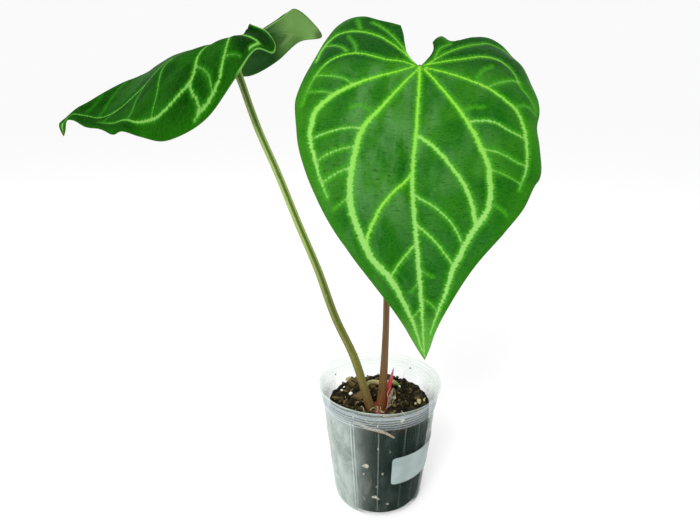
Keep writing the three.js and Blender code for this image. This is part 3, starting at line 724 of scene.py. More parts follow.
# Rows of x, y, z and radius, from the foot up
PETIOLE_LARGE = [
    [0.4, -12, 82.3, 3.5], [1, -12.1, 90, 3.1], [2.1, -12.4, 110, 2.6], [3, -13, 145, 2.1],
    [3.2, -13.6, 190, 2], [5, -14, 235, 1.9], [9.5, -13.4, 278, 1.9], [15, -12.2, 304, 2],
    [18.4, -12.6, 317, 2.3], [19.4, -15.6, 322.2, 2.5], [19.5, -19, 324.3, 2.3],
]
PETIOLE_LEFT = [
    [-7.2, -13, 82.3, 3.3], [-9.5, -12.5, 90, 3], [-19.5, -9.2, 122.9, 2.7], [-33.4, -5.4, 153.4, 2.6],
    [-45.9, -0.4, 188.7, 2.5], [-60.1, 5, 222.8, 2.4], [-73.4, 10.6, 256.1, 2.3], [-87.5, 16.5, 288.5, 2.3],
    [-96.8, 21.6, 315, 2.3], [-100.8, 24.2, 327, 2.5], [-101.4, 24.7, 331.3, 2.5],
]
NEW_SHOOT = [
    [5.4, -8.4, 82.3, 1.8], [5.7, -8.9, 90, 1.9], [6.8, -10.4, 100, 1.7], [8.2, -11.6, 109, 1.1],
    [9.5, -12, 116, 0.3],
]
# The root that lies on the mix: x, y and radius
AERIAL_ROOT = [[-9.2, 13.5, 1.6], [-6, 15, 1.7], [0, 17, 1.8], [7, 17.5, 1.8], [13, 16, 1.7],
               [17.4, 13.8, 0.5]]
# The root behind the wall: degrees from the front, height and radius
WALL_ROOT = [[-29, 86, 0.5], [-23, 86.5, 1], [-14, 84, 1], [-4, 82.5, 1], [4, 80, 1], [12.5, 75.5, 0.6]]


def tube(name, points, rows, columns, ridges=0, knobs=0.0, seed=0.0):
    """A closed tube along the points. Its ridges run the whole way, and knobs roughen it."""
    piece, across, up = grid(name, columns, rows + 2)
    station = np.round(up * (rows + 2)).astype(int)
    inner = np.clip(station - 1, 0, rows)
    line = along(points, np.linspace(0, 1, rows + 1))
    sides, others = [], []
    side = np.array([1.0, 0, 0])
    for i in range(rows + 1):
        ahead = line[min(i + 1, rows), :3] - line[max(i - 1, 0), :3]
        ahead /= np.linalg.norm(ahead)
        side = side - (side @ ahead) * ahead
        side /= np.linalg.norm(side)
        sides.append(side)
        others.append(np.cross(ahead, side))
    turn = 2 * math.pi * np.round(across * columns) / columns
    ridge = 1 + (0.11 * np.cos(ridges * turn) + 0.03 * np.cos(2 * ridges * turn) if ridges else 0)
    radius = line[inner, 3] * ridge
    centre = line[inner, :3]
    ring = np.array(sides)[inner] * np.cos(turn)[:, None] + np.array(others)[inner] * np.sin(turn)[:, None]
    if knobs:
        radius = radius * (1 + knobs * uneven(centre + ring * 3, 2.2, seed))
    radius = np.where((station == 0) | (station == rows + 2), 0, radius)
    shape(piece, centre + ring * radius[:, None])
    mark(piece, "turn", np.column_stack([np.cos(turn), np.sin(turn), np.zeros(len(turn))]))
    close_up(piece, 0.002)
    face_outwards(piece)
    round_off(piece)
    return piece


def stalk(name, foot, middle, head, channel_shade, low, high, facing):
    """A petiole's skin: foot, middle and head colours by height, and painted shade down a channel on the side
    that it faces.
    """
    finish = Finish(name, Roughness=0.42, Specular_IOR_Level=0.25)
    place = finish.place()
    height = finish.parts(place)[2]
    across, back, _ = finish.parts(finish.vector("turn"))
    fibres = finish.grain(finish.stretch(place, (2.2, 2.2, 0.06)), 1.0, 4, 0.65)
    wander = finish.sum("MULTIPLY_ADD", fibres, 26, height)
    base = finish.mix(finish.ramp(wander, low, high), foot, middle)
    base = finish.mix(finish.ramp(wander, high + 15, high + 110), base, head)
    base = finish.mix(finish.ramp(fibres, 0.52, 0.64, 0, 0.7), base, times(0.4, middle))
    base = finish.mix(finish.ramp(fibres, 0.46, 0.36, 0, 0.5), base, times(1.5, middle))
    # Painted shade: a dark stripe down the side of the stalk that faces this way, fuller higher up.
    facing = math.radians(facing)
    turned = finish.sum("MULTIPLY", back, -math.cos(facing))
    turned = finish.sum("MULTIPLY_ADD", across, math.sin(facing), turned)
    painted_groove_shade = finish.ramp(turned, 0.80, 0.97, 0, 0.85)
    painted_groove_shade = finish.sum("MULTIPLY", painted_groove_shade, finish.ramp(height, 100, 170, 0.15, 1))
    base = finish.mix(painted_groove_shade, base, channel_shade)
    specks = finish.grain(finish.stretch(place, (1, 1, 0.6)), 1.3, 3)
    base = finish.mix(finish.ramp(specks, 0.6, 0.72, 0, 0.3), base, times(1.4, head))
    finish.give("Base Color", base)
    finish.give("Normal", finish.bump(fibres, 0.3, 0.8))
    return finish.material


petiole_left = tube("petiole_left_stalk", PETIOLE_LEFT, rows=190, columns=32, ridges=4)
petiole_left.data.materials.append(stalk(
    "stalk_green", foot=(0.15, 0.07, 0.03), middle=(0.15, 0.15, 0.022), head=(0.29, 0.42, 0.10),
    channel_shade=(0.035, 0.07, 0.006), low=94, high=140, facing=20))
settle(petiole_left, "petiole_green", "petiole_left")

petiole_large = tube("petiole_large_stalk", PETIOLE_LARGE, rows=190, columns=32, ridges=4)
petiole_large.data.materials.append(stalk(
    "stalk_brown", foot=(0.30, 0.045, 0.022), middle=(0.125, 0.066, 0.018), head=(0.15, 0.095, 0.02),
    channel_shade=(0.075, 0.03, 0.01), low=84, high=114, facing=-10))
settle(petiole_large, "petiole_brown", "petiole_large")


def shoot_skin():
    """Crimson, turning mauve at the point."""
    finish = Finish("shoot_skin", Roughness=0.45, Specular_IOR_Level=0.2)
    place = finish.place()
    fibres = finish.grain(finish.stretch(place, (1.5, 1.5, 0.2)), 1.0, 3)
    height = finish.sum("MULTIPLY_ADD", fibres, 6, finish.parts(place)[2])
    tone = finish.mix(finish.ramp(height, 88, 104), (0.46, 0.016, 0.016), (0.42, 0.035, 0.045))
    tone = finish.mix(finish.ramp(height, 106, 117), tone, (0.30, 0.11, 0.17))
    finish.give("Base Color", tone)
    finish.give("Normal", finish.bump(fibres, 0.2, 0.6))
    return finish.material


shoot = tube("new_shoot_spike", NEW_SHOOT, rows=60, columns=24)
shoot.data.materials.append(shoot_skin())
settle(shoot, "shoot", "new_shoot")


def soil_top(x, y):
    """The height of the mix, which falls towards the wall and has low lumps."""
    lumps = 1.1 * np.sin(0.42 * x + 1.3) * np.sin(0.37 * y + 0.4)
    lumps = lumps + 0.7 * np.sin(0.71 * x - 0.52 * y + 0.8) + 0.4 * np.sin(1.1 * y + 0.3 * x)
    return SOIL_CENTRE_HEIGHT - SOIL_EDGE_DROP * (x * x + y * y) / SOIL_RADIUS**2 + lumps


# The pot's outer face: height and radius
POT_SIDE = [[8, 35.2], [62, 41.4], [80, 42.9], [RING_BAND_LOW, 43.6], [RING_BAND_HIGH, 46]]


def pot_radius(height):
    table = np.array(POT_SIDE)
    return np.interp(height, table[:, 0], table[:, 1])


def on_wall(degrees, height, inwards):
    """A place at this many degrees from the front, this far inside the pot's outer face."""
    turn = np.radians(degrees)
    distance = pot_radius(height) - inwards
    return [float(distance * np.sin(turn)), float(-distance * np.cos(turn)), float(height)]


def root_skin():
    """Tan and rough, with a green growing end."""
    finish = Finish("root_skin", Roughness=0.7)
    place = finish.place()
    rough = finish.grain(place, 0.8, 4, 0.65)
    tone = finish.mix(finish.ramp(rough, 0.4, 0.65), (0.42, 0.36, 0.16), (0.24, 0.20, 0.08))
    growing_end = finish.ramp(finish.parts(place)[0], 11, 15)
    finish.give("Base Color", finish.mix(growing_end, tone, (0.16, 0.22, 0.035)))
    finish.give("Normal", finish.bump(rough, 0.5, 0.7))
    return finish.material


aerial = tube("aerial_root_bent", [[x, y, float(soil_top(x, y)) + r + 0.9, r] for x, y, r in AERIAL_ROOT],
              rows=70, columns=20, knobs=0.22, seed=2.3)
aerial.data.materials.append(root_skin())
settle(aerial, "root", "aerial_root")

pale_root = Finish("pale_root", Roughness=0.75)
pale_grain = pale_root.grain(pale_root.place(), 0.9, 4, 0.65)
pale_root.two_tones(pale_grain, 0.35, 0.65, (0.34, 0.29, 0.22), (0.20, 0.16, 0.11), 0.4, 0.6)
wall_root = tube("wall_root_bent", [[*on_wall(degrees, z, POT_WALL + 1.3), r] for degrees, z, r in WALL_ROOT],
                 rows=70, columns=16, knobs=0.2, seed=5.1)
wall_root.data.materials.append(pale_root.material)
settle(wall_root, "root", "wall_root")

# The stem between its foot and its head, wider and narrower by the old leaf scars
STEM_FOOT, STEM_HEAD, STEM_RADIUS = 60.3, 82, 8.8
SCARS = [0.72, 0.86, 0.8, 0.94, 0.88, 1, 0.95, 1]
stem_heights = np.linspace(STEM_FOOT, STEM_HEAD, len(SCARS))
stem = tube("stem_ringed", [[*CROWN, z, STEM_RADIUS * scar] for z, scar in zip(stem_heights, SCARS)],
            rows=60, columns=40, knobs=0.06, seed=1.7)
stem_skin = Finish("stem_skin", Roughness=0.7)
stem_grain = stem_skin.grain(stem_skin.stretch(stem_skin.place(), (1, 1, 2.5)), 0.5, 4)
stem_skin.two_tones(stem_grain, 0.4, 0.65, (0.26, 0.06, 0.035), (0.10, 0.035, 0.018), 0.6, 0.8)
stem.data.materials.append(stem_skin.material)
settle(stem, "stem_brown", "stem_base")

# The dry bract and the torn strands round the shoot
papery = Finish("dry_bract_skin", Roughness=0.7, Sheen_Weight=0.1)
papery_grain = papery.grain(papery.stretch(papery.place(), (2.2, 2.2, 0.25)), 1.0, 4)
papery.two_tones(papery_grain, 0.38, 0.66, (0.34, 0.29, 0.18), (0.13, 0.08, 0.035), 0.4, 0.8)

BRACT_SPINE = [[0, 6.4, -11.9, 82.4], [9, 7.6, -12.6, 91], [18, 9.6, -13.4, 100]]
BRACT_HALF = [[0, 1.5], [5, 1.4], [9, 1.6], [13, 1.2], [18, 0.3]]
BRACT_LENGTH = 18
BRACT_THICKNESS = 0.3
bract, bract_across, bract_up = grid("bract_papery", 20, 60)
bract_at = bract_up * BRACT_LENGTH
bract_side = bract_across * 2 - 1
bract_centre = smooth(BRACT_SPINE, bract_at)
bract_half = smooth(BRACT_HALF, bract_at)[:, 0] * (1 + 0.14 * np.sin(bract_up * 31))
bract_curl = 0.5 * bract_half * bract_side**2 + 0.2 * np.sin(bract_side * 9)
shape(bract, bract_centre + np.column_stack([bract_half * bract_side, bract_curl, 0 * bract_half]))
apply(bract, "SOLIDIFY", thickness=BRACT_THICKNESS * MM, offset=0)
STRANDS = [
    [[5.5, -13.4, 84, 0.35], [6.6, -14.2, 91, 0.4], [5.2, -14.4, 96, 0.35], [7.6, -13.6, 100.5, 0.15]],
    [[8.5, -12.6, 83.5, 0.3], [9.6, -13.2, 89, 0.4], [11.2, -12.8, 95, 0.3], [10.4, -12.4, 99, 0.15]],
    [[3.9, -15.2, 83, 0.3], [5.6, -16.2, 86, 0.4], [7.7, -15.6, 87.5, 0.3], [9.6, -14.6, 86.5, 0.15]],
]
strands = [tube(f"strand_{i}", points, rows=24, columns=8, knobs=0.3, seed=i)
           for i, points in enumerate(STRANDS)]
bract = join([bract, *strands], "bract_papery")
face_outwards(bract)
round_off(bract)
bract.data.materials.append(papery.material)
settle(bract, "dry_bract", "cataphyll")


# Potting mix

def soil_body():
    """The root ball with its lumpy top and the hole that the stem stands in."""
    columns, rows, top_share, top_radius = 180, 150, 0.55, 37
    piece, across, up = grid("soil_body", columns, rows)
    turn = 2 * math.pi * np.round(across * columns) / columns
    side = [[0, 1.3], [28, 1.3], [31, 2.4], [32.4, 4.4], [33, 8], [35.4, 30], [38.3, 60], [39, 76],
            [38.6, 80], [top_radius, 82]]
    outer = np.clip(up / (1 - top_share), 0, 1)
    profile = along(side, outer)
    inward = np.clip((up - 1 + top_share) / top_share, 0, 1)
    radius = np.where(inward > 0, top_radius * (1 - inward), profile[:, 0])
    x, y = radius * np.cos(turn), radius * np.sin(turn)
    z = np.where(inward > 0, soil_top(x, y), profile[:, 1])
    blend = np.clip((outer - 0.9) / 0.1, 0, 1) * (inward == 0)
    z = z * (1 - blend) + soil_top(x, y) * blend
    places = np.column_stack([x, y, z])
    out = np.column_stack([np.cos(turn), np.sin(turn), 0 * turn])
    rough = 0.9 * uneven(places, 5, 1) + 0.6 * uneven(places, 2.2, 7)
    away = np.where((inward == 0) & (outer > 0.35), rough - 0.4, 0)
    places = places + out * away[:, None]
    places[:, 2] += np.where(inward > 0, rough * 1.2, 0)
    from_crown = np.hypot(places[:, 0] - CROWN[0], places[:, 1] - CROWN[1])
    sunk = np.clip((CROWN_HOLE_RADIUS - from_crown) / 1.5, 0, 1) * (inward > 0)
    places[:, 2] -= sunk * CROWN_HOLE_DEPTH
    shape(piece, places)
    close_up(piece, 0.003)
    face_outwards(piece)
    round_off(piece)
    return piece


def damp_mix():
    """Nearly black crumbs, rough on the top and smooth and green-black behind the wall."""
    finish = Finish("damp_bark_mix", Roughness=0.9, Specular_IOR_Level=0.15)
    place = finish.place()
    crumbs = finish.cells(place, 0.45)
    rough = finish.grain(place, 0.6, 5, 0.7)
    tone = finish.mix(finish.ramp(rough, 0.4, 0.65), (0.005, 0.004, 0.0015), (0.026, 0.019, 0.006))
    tone = finish.mix(finish.ramp(crumbs, 0.25, 0.05, 0, 0.35), tone, (0.05, 0.035, 0.012))
    height = finish.parts(place)[2]
    tone = finish.mix(finish.ramp(height, 81, 74, 0, 0.88), tone, (0.002, 0.012, 0.009))
    finish.give("Base Color", tone)
    relief = finish.ramp(height, 78, 83, 0.12, 0.9)
    finish.give("Normal", finish.bump(finish.sum("ADD", rough, crumbs), 1.6, relief))
    return finish.material


soil = soil_body()
soil.data.materials.append(damp_mix())
settle(soil, "potting_mix", "soil")


def chunk(name, centre, size, seed, fineness=2, facing=None):
    """One uneven lump with flat broken faces, turned at random or to face so many degrees from the front."""
    bpy.ops.object.select_all(action="DESELECT")
    bpy.ops.mesh.primitive_ico_sphere_add(subdivisions=fineness, radius=1)
    piece = bpy.context.object
    piece.name = name
    broken_faces = 7
    dice = random.Random(seed)
    places = places_of(piece) * MM
    places *= (1 + 0.38 * uneven(places, 0.9, seed * 1.37))[:, None]
    for _ in range(broken_faces):
        normal = np.array([dice.gauss(0, 1) for _ in range(3)])
        normal /= np.linalg.norm(normal)
        beyond = np.maximum(places @ normal - dice.uniform(0.45, 0.8), 0)
        places -= normal * beyond[:, None]
    places *= np.array(size) / 1.7
    tilt, spin = dice.uniform(-0.5, 0.5), dice.uniform(0, 2 * math.pi)
    if facing is not None:
        tilt, spin = 0.0, math.radians(facing)
    cos_t, sin_t, cos_s, sin_s = math.cos(tilt), math.sin(tilt), math.cos(spin), math.sin(spin)
    places = places @ np.array([[1, 0, 0], [0, cos_t, sin_t], [0, -sin_t, cos_t]])
    places = places @ np.array([[cos_s, sin_s, 0], [-sin_s, cos_s, 0], [0, 0, 1]])
    shape(piece, places + np.array(centre))
    return piece


def scattered(name, count, seed, smallest, largest, flatness, reach=35.5):
    """A seeded scatter of lumps bedded in the mix, clear of the stem's hole."""
    dice = random.Random(seed)
    lumps = []
    while len(lumps) < count:
        turn, distance = dice.uniform(0, 2 * math.pi), reach * math.sqrt(dice.random())
        x, y = distance * math.cos(turn), distance * math.sin(turn)
        size = smallest + (largest - smallest) * dice.random() ** 2
        if math.hypot(x - CROWN[0], y - CROWN[1]) < CROWN_HOLE_RADIUS + size * 0.4:
            continue
        if math.hypot(x, y) + size * 0.5 > SOIL_REACH:
            continue
        height = size * flatness
        z = float(soil_top(x, y)) + height * dice.uniform(0.0, 0.8)
        sides = (size, size * dice.uniform(0.5, 0.9), height)
        lumps.append(chunk(f"{name}_{len(lumps)}", (x, y, z), sides, seed + len(lumps)))
    return lumps


def bark_skin():
    """Dark fibrous bark, tan on some chips and nearly black on others."""
    finish = Finish("bark_chips", Roughness=0.8, Specular_IOR_Level=0.2)
    place = finish.place()
    fibrous = finish.grain(finish.stretch(place, (0.5, 1.6, 1.2)), 1.0, 5, 0.7)
    patches = finish.grain(place, 0.13, 1)
    tone = finish.mix(finish.ramp(fibrous, 0.42, 0.62), (0.004, 0.003, 0.001), (0.060, 0.044, 0.010))
    tone = finish.mix(finish.ramp(patches, 0.52, 0.60, 0, 0.7), tone, (0.16, 0.105, 0.030))
    tone = finish.mix(finish.ramp(patches, 0.46, 0.38, 0, 0.8), tone, (0.006, 0.006, 0.0015))
    finish.give("Base Color", tone)
    finish.give("Normal", finish.bump(fibrous, 0.8, 0.8))
    return finish.material


bark = join([
    *scattered("chip", count=150, seed=11, smallest=2.4, largest=6.5, flatness=0.5),
    chunk("chip_left", (-18.6, 15, 87), (15, 8, 6), 501, fineness=3),
    chunk("chip_front_left", (-16.5, -2, 86.5), (11, 12, 6), 502, fineness=3),
    chunk("chip_right", (32, -1, 83.5), (8, 6, 5), 503, fineness=3),
    chunk("chip_back", (10, 24, 85.5), (9, 6, 5), 504, fineness=3),
], "bark_chips")
close_up(bark, 0.0001)
round_off(bark, 28)
bark.data.materials.append(bark_skin())
settle(bark, "potting_mix")

crumb_skin = Finish("dark_crumbs", Roughness=0.9, Specular_IOR_Level=0.15)
crumb_grain = crumb_skin.grain(crumb_skin.place(), 0.3, 3)
crumb_skin.two_tones(crumb_grain, 0.4, 0.6, (0.003, 0.0025, 0.001), (0.080, 0.064, 0.018))
loose_crumbs = join(
    scattered("crumb", count=560, seed=701, smallest=0.8, largest=3.2, flatness=0.8, reach=37.3),
    "mix_crumbs")
loose_crumbs.data.materials.append(crumb_skin.material)
settle(loose_crumbs, "potting_mix")

perlite_skin = Finish("perlite", Roughness=0.85)
perlite_pits = perlite_skin.cells(perlite_skin.place(), 1.6)
perlite_skin.two_tones(perlite_pits, 0.1, 0.6, (0.55, 0.52, 0.44), (0.90, 0.90, 0.84), 0.6, 0.6)
perlite = join([
    *scattered("bead", count=11, seed=903, smallest=0.9, largest=1.9, flatness=0.8, reach=36),
    chunk("bead_front", (-22, -0.4, 87.6), (3, 2.6, 2.4), 601),
    chunk("bead_left", (-29.5, 9.5, 84.8), (2.2, 1.8, 1.8), 602),
    chunk("bead_left_2", (-27.5, 14, 85), (1.8, 1.6, 1.6), 603),
    chunk("bead_back", (-14.7, 19.5, 88.4), (2.6, 2.2, 1.8), 604),
    chunk("bead_back_2", (-22.5, 21, 86.4), (2.2, 2, 1.8), 605),
    chunk("bead_right", (17, 12, 86.6), (2.0, 1.8, 1.6), 606),
    chunk("bead_edge", (33.5, 2.5, 83.6), (3.2, 2.4, 2.2), 607),
    chunk("bead_foot", (11, -5.5, 86.8), (2.6, 2.4, 2.6), 608),
], "perlite_beads")
round_off(perlite, 60)
perlite.data.materials.append(perlite_skin.material)
settle(perlite, "potting_mix")

tan_skin = Finish("tan_fibre", Roughness=0.8)
tan_grain = tan_skin.grain(tan_skin.place(), 0.9, 4)
tan_skin.two_tones(tan_grain, 0.4, 0.62, (0.50, 0.44, 0.22), (0.24, 0.19, 0.08), 0.5, 0.6)


def fibres(count, seed):
    """Thin dry roots that lie across the top of the mix."""
    bends = 4
    dice = random.Random(seed)
    strands = []
    while len(strands) < count:
        turn, distance = dice.uniform(0, 2 * math.pi), dice.uniform(14, 33)
        x, y = distance * math.cos(turn), distance * math.sin(turn)
        heading, length = dice.uniform(0, 2 * math.pi), dice.uniform(6, 15)
        points = []
        for i in range(bends + 1):
            if math.hypot(x, y) < SOIL_RADIUS - 2:
                points.append([x, y, float(soil_top(x, y)) + 0.7 + 0.9 * math.sin(i * 1.4 + turn), 0.28])
            heading += dice.uniform(-0.7, 0.7)
            x += length / bends * math.cos(heading)
            y += length / bends * math.sin(heading)
        if len(points) == bends + 1:
            strands.append(tube(f"fibre_{seed}_{len(strands)}", points, rows=16, columns=6, knobs=0.2,
                                seed=len(strands)))
    return strands


tan_bits = join([
    chunk("tan_chip", (-24, 22.5, 87), (8, 3.6, 3.4), 611),
    chunk("tan_right", (30.2, -6.8, 84.4), (6, 3.6, 3.4), 612),
    chunk("tan_right_2", (27.5, -10.5, 84), (4.6, 3, 2.6), 613),
    chunk("tan_edge", (35, -2.5, 83.6), (3.4, 2.6, 2.8), 614),
    *fibres(count=16, seed=41),
], "tan_fibres")
face_outwards(tan_bits)
round_off(tan_bits, 60)
tan_bits.data.materials.append(tan_skin.material)
settle(tan_bits, "root")


# Things between the root ball and the wall

# Flakes: degrees from the front, height, width and length
FLAKES = [(-17.3, 48.7, 5.0, 3.6), (-7.5, 19.3, 3.6, 2.4), (-3, 18, 2.4, 1.6), (9.7, 12.4, 2.0, 1.4),
          (2, 42.9, 1.4, 1.2), (19.2, 91, 3.4, 4.0), (-20, 41, 1.3, 1.1), (-4, 66, 1.2, 1.0),
          (9, 63, 1.2, 1.1), (-5, 30, 1.2, 1.0)]
wall_bits = join([
    chunk(f"flake_{i}", on_wall(degrees, z, POT_WALL + 1.2), (width, 1.0, tall), 621 + i, facing=degrees)
    for i, (degrees, z, width, tall) in enumerate(FLAKES)
], "wall_flakes")
flake_skin = Finish("flake_skin", Roughness=0.8, Specular_IOR_Level=0.2)
flake_grain = flake_skin.grain(flake_skin.place(), 0.7, 3)
flake_skin.two_tones(flake_grain, 0.4, 0.62, (0.50, 0.46, 0.36), (0.20, 0.20, 0.15))
wall_bits.data.materials.append(flake_skin.material)
settle(wall_bits, "potting_mix")

# Twig and fine roots: degrees from the front, height and radius along each
TWIG = [[-19.8, 17.6, 0.8], [-17, 24, 1.9], [-13.5, 31, 1.6], [-10.9, 37, 0.5]]
twig = tube("wall_twig", [[*on_wall(degrees, z, POT_WALL + 2.2), r] for degrees, z, r in TWIG],
            rows=40, columns=12, knobs=0.35, seed=9.2)
twig_skin = Finish("twig_skin", Roughness=0.75, Specular_IOR_Level=0.15)
twig_grain = twig_skin.grain(twig_skin.stretch(twig_skin.place(), (1.2, 1.2, 0.25)), 1.0, 4, 0.65)
twig_skin.two_tones(twig_grain, 0.4, 0.62, (0.012, 0.008, 0.005), (0.055, 0.038, 0.024), 0.5, 0.8)
twig.data.materials.append(twig_skin.material)
settle(twig, "potting_mix")

FINE_ROOTS = [
    [[-52, 58, 0.3], [-44, 54, 0.35], [-33, 51, 0.35], [-22, 50, 0.2]],
    [[-24, 19, 0.25], [-19, 14, 0.3], [-12, 16, 0.2], [-6, 13, 0.15]],
]
fine_roots = join([
    tube(f"fine_root_{i}", [[*on_wall(degrees, z, POT_WALL + 2.2), r] for degrees, z, r in points],
         rows=30, columns=8, knobs=0.3, seed=i * 1.9)
    for i, points in enumerate(FINE_ROOTS)
], "fine_roots")
fine_roots.data.materials.append(pale_root.material)
settle(fine_roots, "root")

# Specks above the mix: degrees from the front and height
SPECKS = [[-70.6, 82.5], [-72, 83.4], [-69, 84.2], [-73.5, 84.6], [-75, 86], [-127, 86.5], [141, 88]]
specks = join([chunk(f"speck_{i}", on_wall(degrees, z + 3, POT_WALL + 0.5), (1.5, 1.1, 1.6), 640 + i)
               for i, (degrees, z) in enumerate(SPECKS)], "wall_specks")
specks.data.materials.append(crumb_skin.material)
settle(specks, "potting_mix")


# Pot

# Creases in the wall: degrees from the front, depth in mm and how strong each one's painted highlight is
CREASES = [[-32, 0.5, 0.5], [-28.7, 0.4, 0.4], [-3.4, 0.3, 0.2], [23.6, 0.25, 0.2], [40.4, 0.3, 0.15],
           [75, 0.3, 0.3], [110, 0.4, 0.35], [148, 0.35, 0.3], [-75, 0.35, 0.3], [-118, 0.3, 0.3],
           [-160, 0.35, 0.25]]
# How the wall swells over each ring: the share of the ring's height and of its depth
RING_SWELL = [[0.02, 0], [0.2, 0.45], [0.36, 0.92], [0.5, 1], [0.64, 0.92], [0.8, 0.45], [0.98, 0]]
RING_PITCH = (RING_BAND_HIGH - RING_BAND_LOW) / RING_COUNT
DRILL_LENGTH = 6
RIM_WAVE = 0.35
# Where the rim is dented, in degrees from the front
KINK_AT = -27
# How hazy the wall is, and how much painted shade it carries, by degrees from the front
HAZE = [[-180, 0.04], [-130, 0.06], [-100, 0.5], [-88, 0.8], [-60, 0.68], [-36, 0.5], [-30, 0.28],
        [-20, 0.11], [-8, 0.03], [4, 0.01], [20, 0], [55, 0.06], [66, 0.72], [85, 0.8], [100, 0.35],
        [130, 0.06], [180, 0.04]]
SHADED_SIDE = [[-5, 0], [35, 1], [110, 1], [150, 0]]


def pot_outline():
    """Half the pot's section, from the floor's middle up the outside, over the lip and down the inside."""
    foot = [[0, 0.5], [18, 0.5], [27, 0.45], [29, 0], [30.4, 0.15], [31.6, 0.6], [32.7, 1.3], [33.6, 2.2],
            [34.3, 3.4], [34.8, 4.8], [35.05, 6.4]]
    side_heights = (8, 14, 22, 30, 38, 46, 54, 62, 68, 74, 80, 83)
    outside = [[float(pot_radius(z)), z] for z in side_heights]
    rings = []
    for ring in range(RING_COUNT):
        for share, swell in RING_SWELL:
            z = RING_BAND_LOW + (ring + share) * RING_PITCH
            rings.append([float(pot_radius(z)) + RING_HEIGHT * swell, z])
    lip = [[46.3, 97.4], [47.2, 98], [RIM_RADIUS, 98.4], [47.6, 99], [RIM_RADIUS, 99.6], [47.2, 99.95],
           [46.9, 99.9], [46.6, 99.5]]
    inside_heights = (97, 94, 91, 88, 84, 80, 74, 68, 62, 54, 46, 38, 30, 22, 14, 8)
    inside = [[float(pot_radius(z)) - POT_WALL, z] for z in inside_heights]
    bottom = [[34.1, 5.4], [33.4, 3.7], [32.5, 2.5], [31.1, 1.6], [29.6, 1.15], [28.6, 1], [18, 1.2],
              [0, 1.3]]
    return foot + outside + rings + lip + inside + bottom


def drain_drill():
    """A ring of rods that stand where the drain holes come."""
    rods = []
    for i in range(DRAIN_HOLES):
        spin = 2 * math.pi * (i + 0.5) / DRAIN_HOLES
        place = (DRAIN_CIRCLE * MM * math.cos(spin), DRAIN_CIRCLE * MM * math.sin(spin), 0)
        bpy.ops.object.select_all(action="DESELECT")
        bpy.ops.mesh.primitive_cylinder_add(vertices=40, radius=DRAIN_RADIUS * MM,
                                            depth=DRILL_LENGTH * MM, location=place)
        bpy.ops.object.transform_apply(location=True, rotation=True, scale=True)
        rods.append(bpy.context.object)
    return join(rods, "drain_drill")


def pot_body():
    """The thin tapered pot with its ringed band, plain rim, creases and drain holes."""
    outline = pot_outline()
    columns, rows = 360, len(outline) - 1
    piece, across, up = grid("pot_clear", columns, rows)
    turn = 2 * math.pi * np.round(across * columns) / columns
    at = np.array(outline)[np.round(up * rows).astype(int)]
    radius, z = at[:, 0].copy(), at[:, 1].copy()
    degrees = np.degrees(np.arctan2(np.sin(turn), np.cos(turn)))
    in_wall = radius > 34
    wall = np.clip((z - 8) / 8, 0, 1) * np.clip((90 - z) / 6, 0, 1) * in_wall
    for middle, depth, _ in CREASES:
        gap = (degrees - middle + 180) % 360 - 180
        radius -= wall * depth * np.exp(-(gap / 0.9) ** 2)
    high = np.clip((z - 80) / 20, 0, 1) * in_wall
    radius += high * (RIM_WAVE * np.cos(2 * turn + 0.6) - RIM_WAVE)
    kink = np.exp(-(((degrees - KINK_AT + 180) % 360 - 180) / 5) ** 2)
    radius -= high * 0.8 * kink
    z += high * (RIM_WAVE * np.cos(3 * turn + 1.1) - RIM_WAVE - 0.5 * kink)
    shape(piece, np.column_stack([radius * np.sin(turn), -radius * np.cos(turn), z]))
    close_up(piece, 0.003)
    face_outwards(piece)
    drill = drain_drill()
    apply(piece, "BOOLEAN", operation="DIFFERENCE", solver="EXACT", object=drill)
    bpy.data.objects.remove(drill)
    mark_wall(piece)
    round_off(piece, 60)
    return piece


def mark_wall(piece):
    """Stores how hazy the wall is round the pot, how much painted shade it carries, and where the rings'
    crests lie.
    """
    places = places_of(piece)
    degrees = np.degrees(np.arctan2(places[:, 0], -places[:, 1]))
    height = places[:, 2]
    for name, rows in (("haze", HAZE), ("shaded_side", SHADED_SIDE)):
        table = np.array(rows)
        mark(piece, name, np.interp(degrees, table[:, 0], table[:, 1]))
    crest = 0.5 + 0.5 * np.cos(2 * math.pi * ((height - RING_BAND_LOW) / RING_PITCH - 0.5))
    band = np.clip((height - RING_BAND_LOW + 1) / 1.5, 0, 1) * np.clip(RING_BAND_HIGH + 0.5 - height, 0, 1)
    mark(piece, "ring", crest * band)


def wall_creases(finish, x, y, height):
    """The painted highlight at each crease, in thin upright lines that fade towards the foot and the band."""
    around = finish.sum("ARCTAN2", x, finish.sum("MULTIPLY", y, -1))
    lines = None
    for middle, _, shine in CREASES:
        gap = finish.sum("ABSOLUTE", finish.sum("SUBTRACT", around, math.radians(middle)))
        line = finish.ramp(gap, 0.011, 0.003, 0, shine)
        lines = line if lines is None else finish.sum("MAXIMUM", lines, line)
    ends = finish.sum("MULTIPLY", finish.ramp(height, 4, 12), finish.ramp(height, 88, 84))
    return finish.sum("MULTIPLY", lines, ends)


